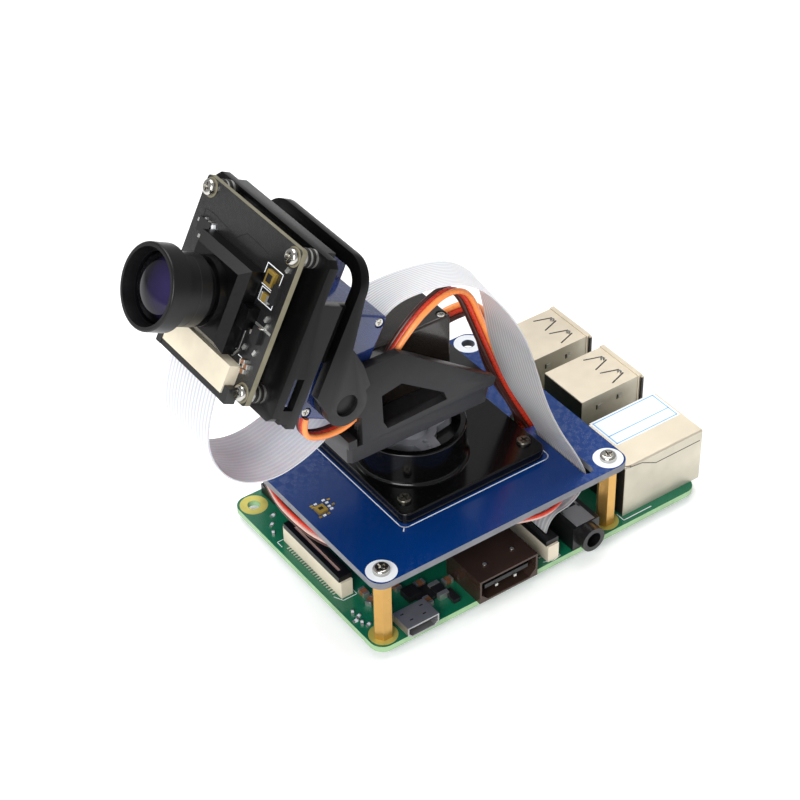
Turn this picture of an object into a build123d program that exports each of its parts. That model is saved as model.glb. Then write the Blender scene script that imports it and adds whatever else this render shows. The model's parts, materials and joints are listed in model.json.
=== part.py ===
"""Pan tilt camera mount: a camera head on two small servos, bolted to a board stack.

Frame: +X runs along the board towards its USB end, +Y across it, +Z up. Sizes are in mm.
The shapes are drawn about the centre of the board's hole rectangle, and save() moves them
so that the origin is at the bottom centre of the whole object.
"""

from build123d import *
import os
from math import radians, tan

# Where the object's bottom centre is, from the centre of the hole rectangle
REF_X, REF_Y, REF_Z = -5.203, -1.25, -1.6

# Overshoot of every cutting shape past the face that it opens
CUT = 1.0

# Board stack
BOARD_X0, BOARD_X1, BOARD_Y = -32.5, 52.5, 28.0
BOARD_T = 1.4
HAT_X1, HAT_Y = 32.5, 28.0
HAT_Z, HAT_T = 17.4, 1.6
HAT_TOP = HAT_Z + HAT_T
CORNER_R = 3.0
HOLE_X, HOLE_Y, HOLE_R = 29.0, 24.5, 1.375
STANDOFF_FLATS, STANDOFF_BORE = 3.6, 1.25
BOARD_SCREW_R, BOARD_SCREW_H, BOARD_SHANK_R, BOARD_BITE = 1.8, 1.2, 1.2, 5.0
STANDOFF_AT = ((-HOLE_X, -HOLE_Y), (HOLE_X, -HOLE_Y))
TAIL = 1.6

# Pin header between the boards
PIN_PITCH, PIN_COUNT, PIN_SIDE, PIN_HOLE, PIN_TOP = 2.54, 20, 0.64, 0.9, 11.5
HEADER_H, SOCKET_Z0, SOCKET_WALL, SOCKET_ROOF = 2.5, 5.0, 0.6, 12.0

# Sockets on the main board: places, then widths, heights and depths
ETHERNET_X0, ETHERNET_X1, ETHERNET_Y, ETHERNET_W, ETHERNET_H = 33.0, 54.6, -17.75, 16.0, 13.5
ETHERNET_MOUTH_W, ETHERNET_KEY_W, ETHERNET_DEPTH = 12.0, 6.4, 12.5
ETHERNET_MOUTH_Z0, ETHERNET_MOUTH_Z1, ETHERNET_KEY_Z1 = 3.8, 10.8, 13.0
USB_X0, USB_X1, USB_W, USB_H, USB_LIP = 37.5, 54.6, 13.1, 16.0, 0.6
USB_Y, USB_LEVELS = (1.0, 19.0), (2.0, 9.2)
USB_MOUTH_W, USB_MOUTH_H, USB_BACK = 12.2, 5.6, 5.0
HDMI_X, HDMI_W, HDMI_H, HDMI_Y0, HDMI_Y1 = -0.5, 15.0, 6.0, -29.2, -17.6
MICRO_X, MICRO_W, MICRO_H, MICRO_Y0, MICRO_Y1 = -21.9, 7.8, 2.9, -28.7, -23.2
JACK_X, JACK_W, JACK_H, JACK_Y0, JACK_Y1 = 21.0, 7.0, 6.0, -27.9, -16.6
JACK_BARREL_R, JACK_BORE_R, JACK_FRONT = 2.9, 1.8, -30.5
CAMERA_PORT_X, DISPLAY_PORT_X = 12.5, -28.6
PORT_Y0, DISPLAY_PORT_Y0, PORT_LENGTH, PORT_HALF_W = -27.6, -11.0, 22.0, 1.4
PORT_TOP, LATCH_TOP, PORT_SLOT_HALF, PORT_SLOT_END, PORT_SLOT_Z0 = 5.6, 6.9, 0.5, 2.4, 3.0

# Slots in the upper board
SLOT, SLOT_R = (21.8, 24.4, -26.0, -8.0), 1.2
WIRE_HOLE, WIRE_HOLE_R = (20.2, 26.0, -6.8, -0.8), 2.0
HUB_HOLE_R = 5.0

# Light sensor on the upper board and servo plugs under it
SENSOR_BOX, SENSOR_H = (-29.8, -27.6, -3.6, -1.4), 0.7
PLUG_X, PLUG_Z, PLUG_Y, PLUG_W = (5.0, 19.0), (9.1, 16.9), (-8.6, -3.75), 4.55

# Pan axis, turntable base and horn
PAN_X = -4.2
BASE_X0, BASE_X1, BASE_Y, BASE_T = -17.8, 19.0, 16.5, 2.5
BASE_TOP = HAT_TOP + BASE_T
COLLAR_R, COLLAR_BORE, COLLAR_TOP, COLLAR_FLOOR = 11.7, 10.4, 29.6, 25.2
BASE_SCREW_X, BASE_SCREW_Y = (-14.6, 16.1), 12.2
BASE_SCREW_R, BASE_SCREW_H = 1.5, 0.8
BASE_SHANK_R, BASE_BORE_R, BASE_SCREW_LEN, NUT_FLATS, NUT_H = 1.05, 1.15, 6.2, 4.5, 1.6
TIE_AT, TIE_BORE_R, SHAFT_BORE_R = 6.6, 0.9, 3.0
HORN_ARM_LEN, HORN_ARM_END, HORN_ARM_ROOT, HORN_DISC_R = 8.0, 2.0, 3.4, 5.4
HORN_BORE_R, HORN_HOLE_R, HORN_HOLES, SOCKET_FLOOR = 1.1, 0.5, (5.0, 6.6, 8.2), 27.7
QUARTERS = (0, 90, 180, 270)
HORN_T, HORN_HUB_R, HORN_HUB_TOP = 1.8, 3.6, 30.6
SPLINE_R, SPLINE_PLAY = 2.25, 0.05

# Servo, measured along its output shaft and along its case
CASE_W, CASE_SHAFT_END, CASE_FAR_END = 6.1, 5.9, 16.9
CASE_LEN, FLANGE_T, FLANGE_OVER = 22.7, 2.5, 4.7
GEAR_T, CAP_T = 4.3, 4.5
BOSS_R, BOSS_H, IDLER_BOSS_R, BOSS_DEPTH = 5.9, 4.0, 2.6, 2.4
CASE_CORNER, GEAR_EDGE, CAP_EDGE, BOSS_ROOT = 0.6, 0.4, 0.5, 0.6
FLANGE_CORNER, FLANGE_HOLE_AT, FLANGE_HOLE_R = 2.6, 2.5, 1.0
SERVO_SCREW_INSET, SERVO_SCREW_R, SERVO_SCREW_H, SERVO_SHANK_R = 1.4, 1.0, 0.6, 0.6
SERVO_SCREW_LEN, SERVO_BORE_LEN, SINK_R, SINK_DEPTH = 7.5, 9.0, 1.15, 0.7
SHAFT_BORE = 0.95

# Middle screws of the horns: head radius, head height, shank radius and length
PAN_HORN_SCREW, TIE_SCREW = (2.4, 1.5, 0.95, 6.5), (0.85, 0.6, 0.45, 1.2)
TILT_HORN_SCREW, SERVO_MOUNT_SCREW = (2.2, 1.2, 0.95, 5.5), (1.7, 1.0, 0.8, 4.4)
PAN_SHAFT_TOP, PAN_SHAFT_BORE_TOP, PAN_BOSS_END = 33.0, 32.0, 30.9

# Openings in the caps where the leads come out, the second one in head coordinates
PAN_GLAND, TILT_GLAND = (0.9, 2.0, -5.3, -1.5, 53.4, 57.0), (2.1, 5.9, -11.4, -9.8, -6.2, -5.2)

# Pan bracket
PLATE_OUT, PLATE_IN = 14.1, 12.1
SLAB_X0, SLAB_X1, SLAB_Z0, SLAB_Z1 = -28.6, 7.6, 39.0, 42.6
SLAB_TAIL_CHAMFER = 3.0
SLAB_CHAMFER, SLAB_STEP, FLANGE_SEAT_Z = 0.8, 0.3, 41.8
SERVO_GAP = 0.2
EAR_R, PIN_R, ARM_HOLE_R = 4.6, 2.32, 2.4
FAR_EAR_OUT, FAR_EAR_IN, FAR_EAR_X = 18.6, 16.6, -20.0
FAR_EAR_EDGE_X, FAR_EAR_Z0, FAR_EAR_Z1, FAR_EAR_OVER = -14.0, 46.0, 60.0, 0.6
FAR_PLATE_TOP, PIN_LEN = 64.0, 1.6
LIP_X, LIP_Z1, LIP_TOP_Y, LIP_END_Y = (-28.6, -26.6), 44.6, -10.2, -3.0
CLIP_X, CLIP_NEAR_Z, CLIP_NEAR_R, CLIP_FAR_Z, CLIP_FAR_R = -23.7, 46.0, 2.0, 40.8, 1.2

# Horn in the far ear, along Y
TILT_HORN_Y, TILT_HUB_Y, TILT_SOCKET_Y, TILT_SHAFT_Y = 15.3, 18.9, 17.6, 12.7
TILT_DISC_R, TILT_ARM_LEN, TILT_ARM_HALF, TILT_ARM_END = 5.2, 7.2, 2.2, 2.0

# Tilt axis and head, drawn level with F forward, U up and the tilt axis at zero
PIVOT_X, PIVOT_Z = -30.4, 56.6
REST_TILT = 27.0
ARM_OUT, ARM_IN = 16.6, 14.6
FAR_ARM_OUT = 16.2
HEAD_PLATE = (17.6, 19.6, 19.2, -2.9, 30.5)
PLATE_WINDOW, PLATE_CHAMFER = (-9.0, 9.0, 5.0, 24.0), 1.2
HOOP_BACK, HOOP_FRONT, HOOP_Y, HOOP_TOP, HOOP_W, HOOP_R = 6.0, 8.0, 16.6, 29.0, 2.6, 6.0
HOOP_FOOT, WEB_TOP = 8.0, 20.0
SIDE_FLANGE_Y, SIDE_FLANGE_TOP, FLANGE_BACK = (-19.2, -17.4), 21.9, (13.2, 17.6)
HOOK_BACK, HOOK_LOW, HOOK_TOP = (13.3, 15.4), -3.8, 6.7
CRADLE_IN, CRADLE_OUT, CRADLE_BACK, CRADLE_FRONT = 6.7, 8.7, -6.1, 17.6
RAIL_F, RAIL_END_U, RAIL_OVER = -3.5, 4.6, 3.0
TILT_BOSS_END, CRADLE_SCREW_Y, CRADLE_BORE_R = 14.9, 4.1, 0.8
SPACER_BORE = 1.05

# Camera
PCB_F, PCB_T, PCB_SIDE, PCB_U, PCB_HOLE = 24.0, 1.2, 32.0, 14.7, 14.0
LENS_U = PCB_U - 0.6
LENS_FRONT, RIM_R, RIM_BORE, RIM_LEN = 42.0, 8.2, 7.3, 4.0
BARREL_R, BARREL_BACK, THREAD_R = 6.9, 32.2, 5.6
HOLDER_FOOT, HOLDER_TUBE_R, HOLDER_TUBE_F, HOLDER_FLOOR = 4.6, 6.7, 30.4, 0.8
GLASS_R, GLASS_DEPTH, DOME_R, DOME_BACK, LENS_BORE = 6.7, 3.6, 9.5, 9.65, 4.0
PCB_SCREW_R, SPACER_R, PCB_CORNER, PCB_HOLE_R = 1.6, 1.75, 0.8, 1.1
PCB_SCREW_H, PCB_SHANK_R, PCB_SCREW_LEN = 1.2, 0.95, 8.4
CONNECTOR_H, CONNECTOR_Y, CONNECTOR_U = 2.6, (-11.3, 9.3), (-0.9, 4.7)
LATCH_H, LATCH_Y, LATCH_U = (0.3, 2.4), (-12.5, 10.5), (-2.2, -1.0)
CAMERA_CHIPS = (
    (0.9, (-14.2, -12.6, 18.8, 22.4)), (0.8, (9.6, 13.2, 20.4, 23.2)), (0.8, (-13.6, -11.4, 10.4, 13.4)),
)
HOLDER_HALF, HOLDER_CHAMFER, LUG_Y, LUG_U, LUG_H, HOLDER_BORE_DEPTH = 8.5, 1.6, 10.8, 2.2, 2.6, 7.0
RIBBON_W, RIBBON_T = 16.0, 0.3
LEAD_W, LEAD_T = 3.4, 1.2

# Routes of the free ribbon and of the two servo leads, centre line
RIBBON_ROUTE = (
    (-54.0, -1.0, 66.0), (-56.9, -1.0, 58.4), (-56.1, -1.0, 49.6), (-51.2, -1.0, 42.4),
    (-43.2, -1.0, 39.2), (-35.0, -1.0, 41.0), (-28.3, -1.0, 45.0), (-24.6, -1.0, 50.6),
    (-22.6, -1.0, 56.6), (-18.4, -1.2, 62.4), (-10.4, -3.2, 67.8), (-1.6, -9.4, 71.6),
    (3.6, -13.6, 69.4), (6.6, -16.6, 61.6), (8.6, -17.0, 52.4), (11.4, -17.0, 42.4),
    (15.4, -17.0, 33.0), (20.2, -17.0, 24.4), (23.5, -17.0, 16.6), (19.4, -17.0, 11.4),
    (13.4, -17.0, 11.2), (12.5, -17.0, 7.0),
)
TILT_LEAD_ROUTE = (
    (-36.6, -10.6, 53.2), (-37.9, -10.7, 49.6), (-33.6, -10.7, 46.9), (-27.4, -10.7, 46.6),
    (-21.9, -10.3, 50.0), (-17.6, -9.8, 55.4), (-13.6, -9.8, 60.6), (-8.4, -9.8, 65.2),
    (-1.6, -9.2, 67.4), (3.6, -7.8, 63.2), (6.9, -7.0, 55.2), (10.2, -6.7, 46.6),
    (13.8, -6.3, 37.6), (18.0, -5.6, 28.8), (22.4, -4.9, 20.6), (24.4, -5.6, 16.4),
    (22.6, -6.3, 13.0), (19.0, -6.3, 13.0),
)
PAN_LEAD_ROUTE = (
    (1.7, -3.4, 55.2), (5.9, -3.4, 55.8), (10.4, -3.6, 53.8), (11.3, -3.9, 48.0),
    (13.0, -3.8, 40.4), (16.4, -3.4, 32.0), (20.8, -3.0, 24.4), (23.8, -2.7, 17.0),
    (22.6, -1.5, 13.0), (19.0, -1.5, 13.0),
)


# ---------------------------------------------------------------- plain shapes
def block(x0, x1, y0, y1, z0, z1):
    """A block between two corners."""
    centre = Pos((x0 + x1) / 2, (y0 + y1) / 2, (z0 + z1) / 2)
    return centre * Box(x1 - x0, y1 - y0, z1 - z0)


def post(x, y, radius, z0, z1):
    """An upright cylinder."""
    return Pos(x, y, (z0 + z1) / 2) * Cylinder(radius, z1 - z0)


def rod_x(y, z, radius, x0, x1):
    """A cylinder along X."""
    return Pos((x0 + x1) / 2, y, z) * Rot(0, 90, 0) * Cylinder(radius, x1 - x0)


def rod_y(x, z, radius, y0, y1):
    """A cylinder along Y."""
    return Pos(x, (y0 + y1) / 2, z) * Rot(90, 0, 0) * Cylinder(radius, y1 - y0)


def rounded_slab(x0, x1, y0, y1, z0, z1, radius):
    """A block with its four upright edges rounded."""
    return fillet(block(x0, x1, y0, y1, z0, z1).edges().filter_by(Axis.Z), radius)


def side_plate(points, y0, y1):
    """A flat plate with an outline of (x, z) points, from y0 to y1."""
    face = make_face(Polyline(*points, close=True))
    return extrude(Plane.XZ.offset(-y1) * face, y1 - y0)


def hexagon(x, y, flats, z0, z1):
    """An upright hexagonal bar."""
    face = RegularPolygon(flats / 2, 6, major_radius=False)
    return Pos(x, y, z0) * extrude(face, z1 - z0)


def flip_y(shape):
    """The same shape on the other side of the plane y = 0."""
    return mirror(shape, about=Plane.XZ)


def pan_head_screw(head_r, head_h, shank_r, shank_len):
    """A cross-recessed screw, its head on z = 0 and its shank below."""
    long, wide, rounding = head_r * 1.15, head_r * 0.26, head_h * 0.55
    head = Pos(0, 0, head_h / 2) * Cylinder(head_r, head_h)
    head = fillet(head.edges().group_by(Axis.Z)[-1], rounding)
    recess = Pos(0, 0, head_h) * (Box(long, wide, head_h) + Box(wide, long, head_h))
    return head - recess + Pos(0, 0, -shank_len / 2) * Cylinder(shank_r, shank_len)


def save(name, shapes):
    """Write one node, its separate pieces in one file, moved to the object's own origin."""
    pieces = shapes if isinstance(shapes, list) else [shapes]
    solids = [s for piece in pieces for s in piece.solids()]
    moved = [Pos(-REF_X, -REF_Y, -REF_Z) * s for s in solids]
    node = moved[0] if len(moved) == 1 else Compound(children=moved)
    export_step(node, f"parts/{name}.step")


# ---------------------------------------------------------------- main board
def square_post(x, y, side, z0, z1):
    """An upright square bar."""
    half = side / 2
    return block(x - half, x + half, y - half, y + half, z0, z1)


def main_board():
    board = rounded_slab(BOARD_X0, BOARD_X1, -BOARD_Y, BOARD_Y, 0, BOARD_T, CORNER_R)
    for x in (-HOLE_X, HOLE_X):
        for y in (-HOLE_Y, HOLE_Y):
            board -= post(x, y, HOLE_R, -CUT, BOARD_T + CUT)
    for x, y in pin_places():
        board -= square_post(x, y, PIN_HOLE, -CUT, BOARD_T + CUT)
    save("main_board", board)


def pin_places():
    """Centres of the two rows of header pins."""
    first = -(PIN_COUNT - 1) * PIN_PITCH / 2
    return [
        (first + i * PIN_PITCH, HOLE_Y + row * PIN_PITCH / 2)
        for i in range(PIN_COUNT)
        for row in (-1, 1)
    ]


def header():
    """The pin header, its pins, and the socket under the upper board that takes them."""
    half = PIN_COUNT * PIN_PITCH / 2
    y0, y1 = HOLE_Y - PIN_PITCH, HOLE_Y + PIN_PITCH
    body = block(-half, half, y0, y1, BOARD_T, BOARD_T + HEADER_H)
    pins = []
    for x, y in pin_places():
        body -= square_post(x, y, PIN_SIDE, 0, BOARD_T + HEADER_H + CUT)
        pins.append(square_post(x, y, PIN_SIDE, -TAIL, PIN_TOP))
    wall = SOCKET_WALL
    socket = block(-half, half, y0, y1, SOCKET_Z0, HAT_Z)
    socket -= block(-half + wall, half - wall, y0 + wall, y1 - wall, SOCKET_Z0 - CUT, SOCKET_ROOF)
    save("header_base", body)
    save("header_pins", pins)
    save("header_socket", socket)


def centred_in_y(x0, x1, y, width, z0, z1):
    """A block with its middle at y."""
    return block(x0, x1, y - width / 2, y + width / 2, z0, z1)


def ethernet_port():
    x1, y = ETHERNET_X1, ETHERNET_Y
    edge = 0.3
    shell = centred_in_y(ETHERNET_X0, x1, y, ETHERNET_W, BOARD_T, BOARD_T + ETHERNET_H)
    inner, outer = x1 - ETHERNET_DEPTH, x1 + CUT
    shell -= centred_in_y(inner, outer, y, ETHERNET_MOUTH_W, ETHERNET_MOUTH_Z0, ETHERNET_MOUTH_Z1)
    shell -= centred_in_y(inner, outer, y, ETHERNET_KEY_W, ETHERNET_MOUTH_Z1, ETHERNET_KEY_Z1)
    save("ethernet_port", chamfer(shell.edges().filter_by(Axis.X).group_by(Axis.Z)[-1], edge))


def usb_ports():
    """Two towers, each with two mouths, a flared lip and the tongues inside."""
    shells, tongues = [], []
    flare, back, step = 1.0, USB_X0 + USB_BACK, 2.0
    for y in USB_Y:
        shell = centred_in_y(USB_X0, USB_X1 - USB_LIP, y, USB_W, BOARD_T, BOARD_T + USB_H)
        for level in USB_LEVELS:
            z = BOARD_T + level
            lip_top = min(z + USB_MOUTH_H + flare, BOARD_T + USB_H)
            shell += centred_in_y(USB_X1 - USB_LIP, USB_X1, y, USB_W + flare, z - flare, lip_top)
            shell -= centred_in_y(back, USB_X1 + CUT, y, USB_MOUTH_W, z, z + USB_MOUTH_H)
            tongues.append(centred_in_y(back, USB_X1 - 1.4, y, 11.0, z + 3.2, z + 5.1))
            tongues.append(centred_in_y(back, back + step, y, 12.0, z + 0.1, z + 3.1))
        shells.append(shell)
    save("usb_shells", shells)
    save("usb_tongues", tongues)


def centred_in_x(x, width, y0, y1, z0, z1):
    """A block with its middle at x."""
    return block(x - width / 2, x + width / 2, y0, y1, z0, z1)


def hdmi_port():
    wall, depth, bevel = 0.5, 1.5, 1.6
    top, mouth_w = BOARD_T + HDMI_H, HDMI_W - 2 * wall
    back = HDMI_Y1 + depth
    shell = centred_in_x(HDMI_X, HDMI_W, HDMI_Y0, HDMI_Y1, BOARD_T, top)
    mouth = centred_in_x(HDMI_X, mouth_w, HDMI_Y0 - CUT, back, BOARD_T + wall, top - wall)
    tongue = centred_in_x(HDMI_X, 11.2, HDMI_Y0 + 0.9, back, 4.1, 5.1)
    tongue += centred_in_x(HDMI_X, 10.4, HDMI_Y1, back, 2.0, 6.8)
    save("hdmi_shell", shell - chamfer_low(mouth, bevel))
    save("hdmi_tongue", tongue)


def chamfer_low(shape, size):
    """Bevel the two lower edges that run along Y."""
    return chamfer(shape.edges().filter_by(Axis.Y).group_by(Axis.Z)[0], size)


def microusb_port():
    wall, bevel = 0.35, 0.9
    top, back = BOARD_T + MICRO_H, MICRO_Y1 + 0.6
    shell = centred_in_x(MICRO_X, MICRO_W, MICRO_Y0, MICRO_Y1, BOARD_T, top)
    cavity = centred_in_x(
        MICRO_X, MICRO_W - 2 * wall, MICRO_Y0 - CUT, back, BOARD_T + wall, top - wall
    )
    tongue = centred_in_x(MICRO_X, 4.0, MICRO_Y0 + 0.8, back, 2.9, 3.4)
    save("microusb_port", [chamfer_low(shell, bevel) - chamfer_low(cavity, bevel - 0.1), tongue])


def audio_jack():
    axis_z = BOARD_T + 3.1
    body = centred_in_x(JACK_X, JACK_W, JACK_Y0, JACK_Y1, BOARD_T, BOARD_T + JACK_H)
    barrel = rod_y(JACK_X, axis_z, JACK_BARREL_R, JACK_FRONT, JACK_Y0)
    bore = rod_y(JACK_X, axis_z, JACK_BORE_R, JACK_FRONT - CUT, JACK_Y1 - CUT)
    save("audio_jack", body + barrel - bore)


def ribbon_ports():
    """The two upright ribbon sockets and their dark latches."""
    bodies = []
    half, slot, latch_inset, latch_over = PORT_HALF_W, PORT_SLOT_HALF, 0.5, 0.2
    places = (("camera", CAMERA_PORT_X, PORT_Y0), ("display", DISPLAY_PORT_X, DISPLAY_PORT_Y0))
    for name, x, y0 in places:
        y1 = y0 + PORT_LENGTH
        opening = block(
            x - slot, x + slot, y0 + PORT_SLOT_END, y1 - PORT_SLOT_END, PORT_SLOT_Z0, LATCH_TOP + CUT
        )
        bodies.append(block(x - half, x + half, y0, y1, BOARD_T, PORT_TOP) - opening)
        wide = half + latch_over
        latch = block(x - wide, x + wide, y0 + latch_inset, y1 - latch_inset, PORT_TOP, LATCH_TOP)
        save(f"{name}_port_latch", latch - opening)
    save("ribbon_ports", bodies)


def board_chips():
    """The larger packages on the top face of the main board."""
    chips = [
        block(-13.6, 0.4, -5.0, 9.0, BOARD_T, BOARD_T + 1.2),
        block(19.0, 28.0, -3.0, 6.0, BOARD_T, BOARD_T + 0.9),
        block(-17.8, -13.8, -22.5, -18.5, BOARD_T, BOARD_T + 1.0),
        block(-12.2, -10.6, -26.0, -22.4, BOARD_T, BOARD_T + 1.1),
    ]
    save("board_chips", chips)


# ---------------------------------------------------------------- upper board
def standoffs():
    bars, screws = [], []
    for x, y in STANDOFF_AT:
        bar = hexagon(x, y, STANDOFF_FLATS, BOARD_T, HAT_Z)
        bars.append(bar - post(x, y, STANDOFF_BORE, BOARD_T - CUT, HAT_Z + CUT))
        top = pan_head_screw(BOARD_SCREW_R, BOARD_SCREW_H, BOARD_SHANK_R, HAT_T + BOARD_BITE)
        screws.append(Pos(x, y, HAT_TOP) * top)
        low = pan_head_screw(BOARD_SCREW_R, TAIL, BOARD_SHANK_R, BOARD_T + BOARD_BITE)
        screws.append(Pos(x, y, 0) * Rot(180, 0, 0) * low)
    save("standoffs", bars)
    save("board_screws", screws)


def upper_board():
    board = rounded_slab(BOARD_X0, HAT_X1, -HAT_Y, HAT_Y, HAT_Z, HAT_TOP, CORNER_R)
    for x in (-HOLE_X, HOLE_X):
        for y in (-HOLE_Y, HOLE_Y):
            board -= post(x, y, HOLE_R, HAT_Z - CUT, HAT_TOP + CUT)
    board -= rounded_slab(*SLOT, HAT_Z - CUT, HAT_TOP + CUT, SLOT_R)
    board -= rounded_slab(*WIRE_HOLE, HAT_Z - CUT, HAT_TOP + CUT, WIRE_HOLE_R)
    board -= post(PAN_X, 0, HUB_HOLE_R, HAT_Z - CUT, HAT_TOP + CUT)
    for x, y in base_screw_places():
        board -= post(x, y, BASE_BORE_R + 0.1, HAT_Z - CUT, HAT_TOP + CUT)
    save("upper_board", board)
    save("light_sensor", block(*SENSOR_BOX, HAT_TOP, HAT_TOP + SENSOR_H))


def servo_plugs():
    """Two three-pin plugs under the upper board, one for each servo lead."""
    plugs = [block(*PLUG_X, y, y + PLUG_W, *PLUG_Z) for y in PLUG_Y]
    save("servo_plugs", plugs)


# ---------------------------------------------------------------- turntable base
def base_screw_places():
    return [(x, side * BASE_SCREW_Y) for x in BASE_SCREW_X for side in (-1, 1)]


def base_plate():
    """The bolted plate with the collar that the pan horn sits in."""
    corner, edge, root = 2.0, 0.4, 0.9
    base = rounded_slab(BASE_X0, BASE_X1, -BASE_Y, BASE_Y, HAT_TOP, BASE_TOP, corner)
    base = fillet(base.edges().group_by(Axis.Z)[-1], edge)
    collar = post(PAN_X, 0, COLLAR_R, BASE_TOP - edge, COLLAR_TOP)
    base += fillet(collar.edges().group_by(Axis.Z)[-1], edge)
    foot = base.edges().filter_by(GeomType.CIRCLE).filter_by(is_collar_foot)
    base = fillet(foot, root)
    base -= post(PAN_X, 0, COLLAR_BORE, COLLAR_FLOOR, COLLAR_TOP + CUT)
    base -= post(PAN_X, 0, SHAFT_BORE_R, HAT_TOP - CUT, COLLAR_FLOOR + CUT)
    for x, y in base_screw_places():
        base -= post(x, y, BASE_BORE_R, HAT_TOP - CUT, BASE_TOP + CUT)
    for side in (-1, 1):
        base -= post(PAN_X, side * TIE_AT, TIE_BORE_R, HAT_TOP - CUT, COLLAR_FLOOR + CUT)
    save("base_plate", base)


def is_collar_foot(edge):
    """True for the circle where the collar meets the plate."""
    at_top = abs(edge.center(CenterOf.BOUNDING_BOX).Z - BASE_TOP) < 0.01
    return at_top and abs(edge.radius - COLLAR_R) < 0.01


def base_fasteners():
    screws, nuts = [], []
    for x, y in base_screw_places():
        screw = pan_head_screw(BASE_SCREW_R, BASE_SCREW_H, BASE_SHANK_R, BASE_SCREW_LEN)
        screws.append(Pos(x, y, BASE_TOP) * screw)
        nut = hexagon(x, y, NUT_FLATS, HAT_Z - NUT_H, HAT_Z)
        nuts.append(nut - post(x, y, BASE_SHANK_R, HAT_Z - NUT_H - CUT, HAT_Z + CUT))
    save("base_screws", screws)
    save("base_nuts", nuts)


def horn_arm():
    """One tapering arm of the cross-shaped horn, along +X, with its row of holes."""
    root, end, tip = HORN_ARM_ROOT, HORN_ARM_END, HORN_ARM_LEN
    arm = make_face(Polyline((0, -root), (0, root), (tip, end), (tip, -end), close=True))
    arm = extrude(arm, HORN_T) + post(tip, 0, end, 0, HORN_T)
    for r in HORN_HOLES:
        arm -= post(r, 0, HORN_HOLE_R, -CUT, HORN_T + CUT)
    return arm


def pan_horn():
    z0 = COLLAR_FLOOR
    horn = post(PAN_X, 0, HORN_DISC_R, z0, z0 + HORN_T)
    for turn in QUARTERS:
        horn += Pos(PAN_X, 0, z0) * Rot(0, 0, turn) * horn_arm()
    horn += post(PAN_X, 0, HORN_HUB_R, z0, HORN_HUB_TOP)
    for turn in QUARTERS:
        bore = post(HORN_HOLES[0], 0, HORN_HOLE_R, z0 - CUT, z0 + HORN_T + CUT)
        horn -= Pos(PAN_X, 0, 0) * Rot(0, 0, turn) * bore
    horn -= post(PAN_X, 0, SPLINE_R, SOCKET_FLOOR, HORN_HUB_TOP + CUT)
    horn -= post(PAN_X, 0, HORN_BORE_R, z0 - CUT, SOCKET_FLOOR + CUT)
    save("pan_horn", horn)


def pan_horn_fixings():
    """The horn's middle screw, its two tie screws, and the servo's output shaft."""
    down = Rot(180, 0, 0)
    fixing = pan_head_screw(*PAN_HORN_SCREW)
    save("pan_horn_screw", Pos(PAN_X, 0, COLLAR_FLOOR) * down * fixing)
    small = pan_head_screw(*TIE_SCREW)
    ties = [Pos(PAN_X, side * TIE_AT, COLLAR_FLOOR) * down * small for side in (-1, 1)]
    save("horn_tie_screws", ties)
    shaft = post(PAN_X, 0, SPLINE_R, SOCKET_FLOOR, PAN_SHAFT_TOP)
    bore = post(PAN_X, 0, SHAFT_BORE, SOCKET_FLOOR - CUT, PAN_SHAFT_BORE_TOP)
    save("pan_output_shaft", shaft - bore)


# ---------------------------------------------------------------- servos
# A servo is drawn with its output shaft along +Z at the origin, the boss's end at z = 0
# and its case running towards +X. Its four moulded parts and its screws are five nodes.
CASE_Z1 = -BOSS_H
FLANGE_TOP = CASE_Z1 - GEAR_T
CASE_Z0 = CASE_Z1 - CASE_LEN


def gear_case(x0, x1):
    """The geared end of the servo, with its round boss and the smaller one beside it."""
    gear = rounded_slab(x0, x1, -CASE_W, CASE_W, FLANGE_TOP, CASE_Z1, CASE_CORNER)
    gear = fillet(gear.edges().group_by(Axis.Z)[-1], GEAR_EDGE)
    gear += post(0, 0, BOSS_R, CASE_Z1 - BOSS_ROOT, 0)
    gear += post(BOSS_R, 0, IDLER_BOSS_R, CASE_Z1 - BOSS_ROOT, 0)
    return gear - post(0, 0, SPLINE_R + SPLINE_PLAY, -BOSS_DEPTH, CUT)


def flanged_case(x0, x1):
    """The middle of the servo with its mounting flange."""
    case = rounded_slab(x0, x1, -CASE_W, CASE_W, CASE_Z0 + CAP_T, FLANGE_TOP, CASE_CORNER)
    wide0, wide1, low = x0 - FLANGE_OVER, x1 + FLANGE_OVER, FLANGE_TOP - FLANGE_T
    flange = rounded_slab(wide0, wide1, -CASE_W, CASE_W, low, FLANGE_TOP, FLANGE_CORNER)
    for x in flange_holes():
        flange -= post(x, 0, FLANGE_HOLE_R, low - CUT, FLANGE_TOP + CUT)
    return case + flange


def servo_parts():
    x0, x1 = -CASE_SHAFT_END, CASE_FAR_END
    case = flanged_case(x0, x1)
    cap = rounded_slab(x0, x1, -CASE_W, CASE_W, CASE_Z0, CASE_Z0 + CAP_T, CASE_CORNER)
    cap = fillet(cap.edges().group_by(Axis.Z)[0], CAP_EDGE)
    inset, bore_end, sunk = SERVO_SCREW_INSET, CASE_Z0 + SERVO_BORE_LEN, CASE_Z0 + SINK_DEPTH
    screw = pan_head_screw(SERVO_SCREW_R, SERVO_SCREW_H, SERVO_SHANK_R, SERVO_SCREW_LEN)
    screws = []
    for x in (x0 + inset, x1 - inset):
        for y in (-CASE_W + inset, CASE_W - inset):
            cap -= post(x, y, SINK_R, CASE_Z0 - CUT, sunk)
            cap -= post(x, y, SERVO_SHANK_R, CASE_Z0 - CUT, bore_end)
            case -= post(x, y, SERVO_SHANK_R, CASE_Z0, bore_end)
            screws.append(Pos(x, y, sunk) * Rot(180, 0, 0) * screw)
    return {"gearcase": gear_case(x0, x1), "case": case, "cap": cap, "screws": screws}


def flange_holes():
    """Places along the case of the two mounting holes."""
    return (-CASE_SHAFT_END - FLANGE_HOLE_AT, CASE_FAR_END + FLANGE_HOLE_AT)


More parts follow.
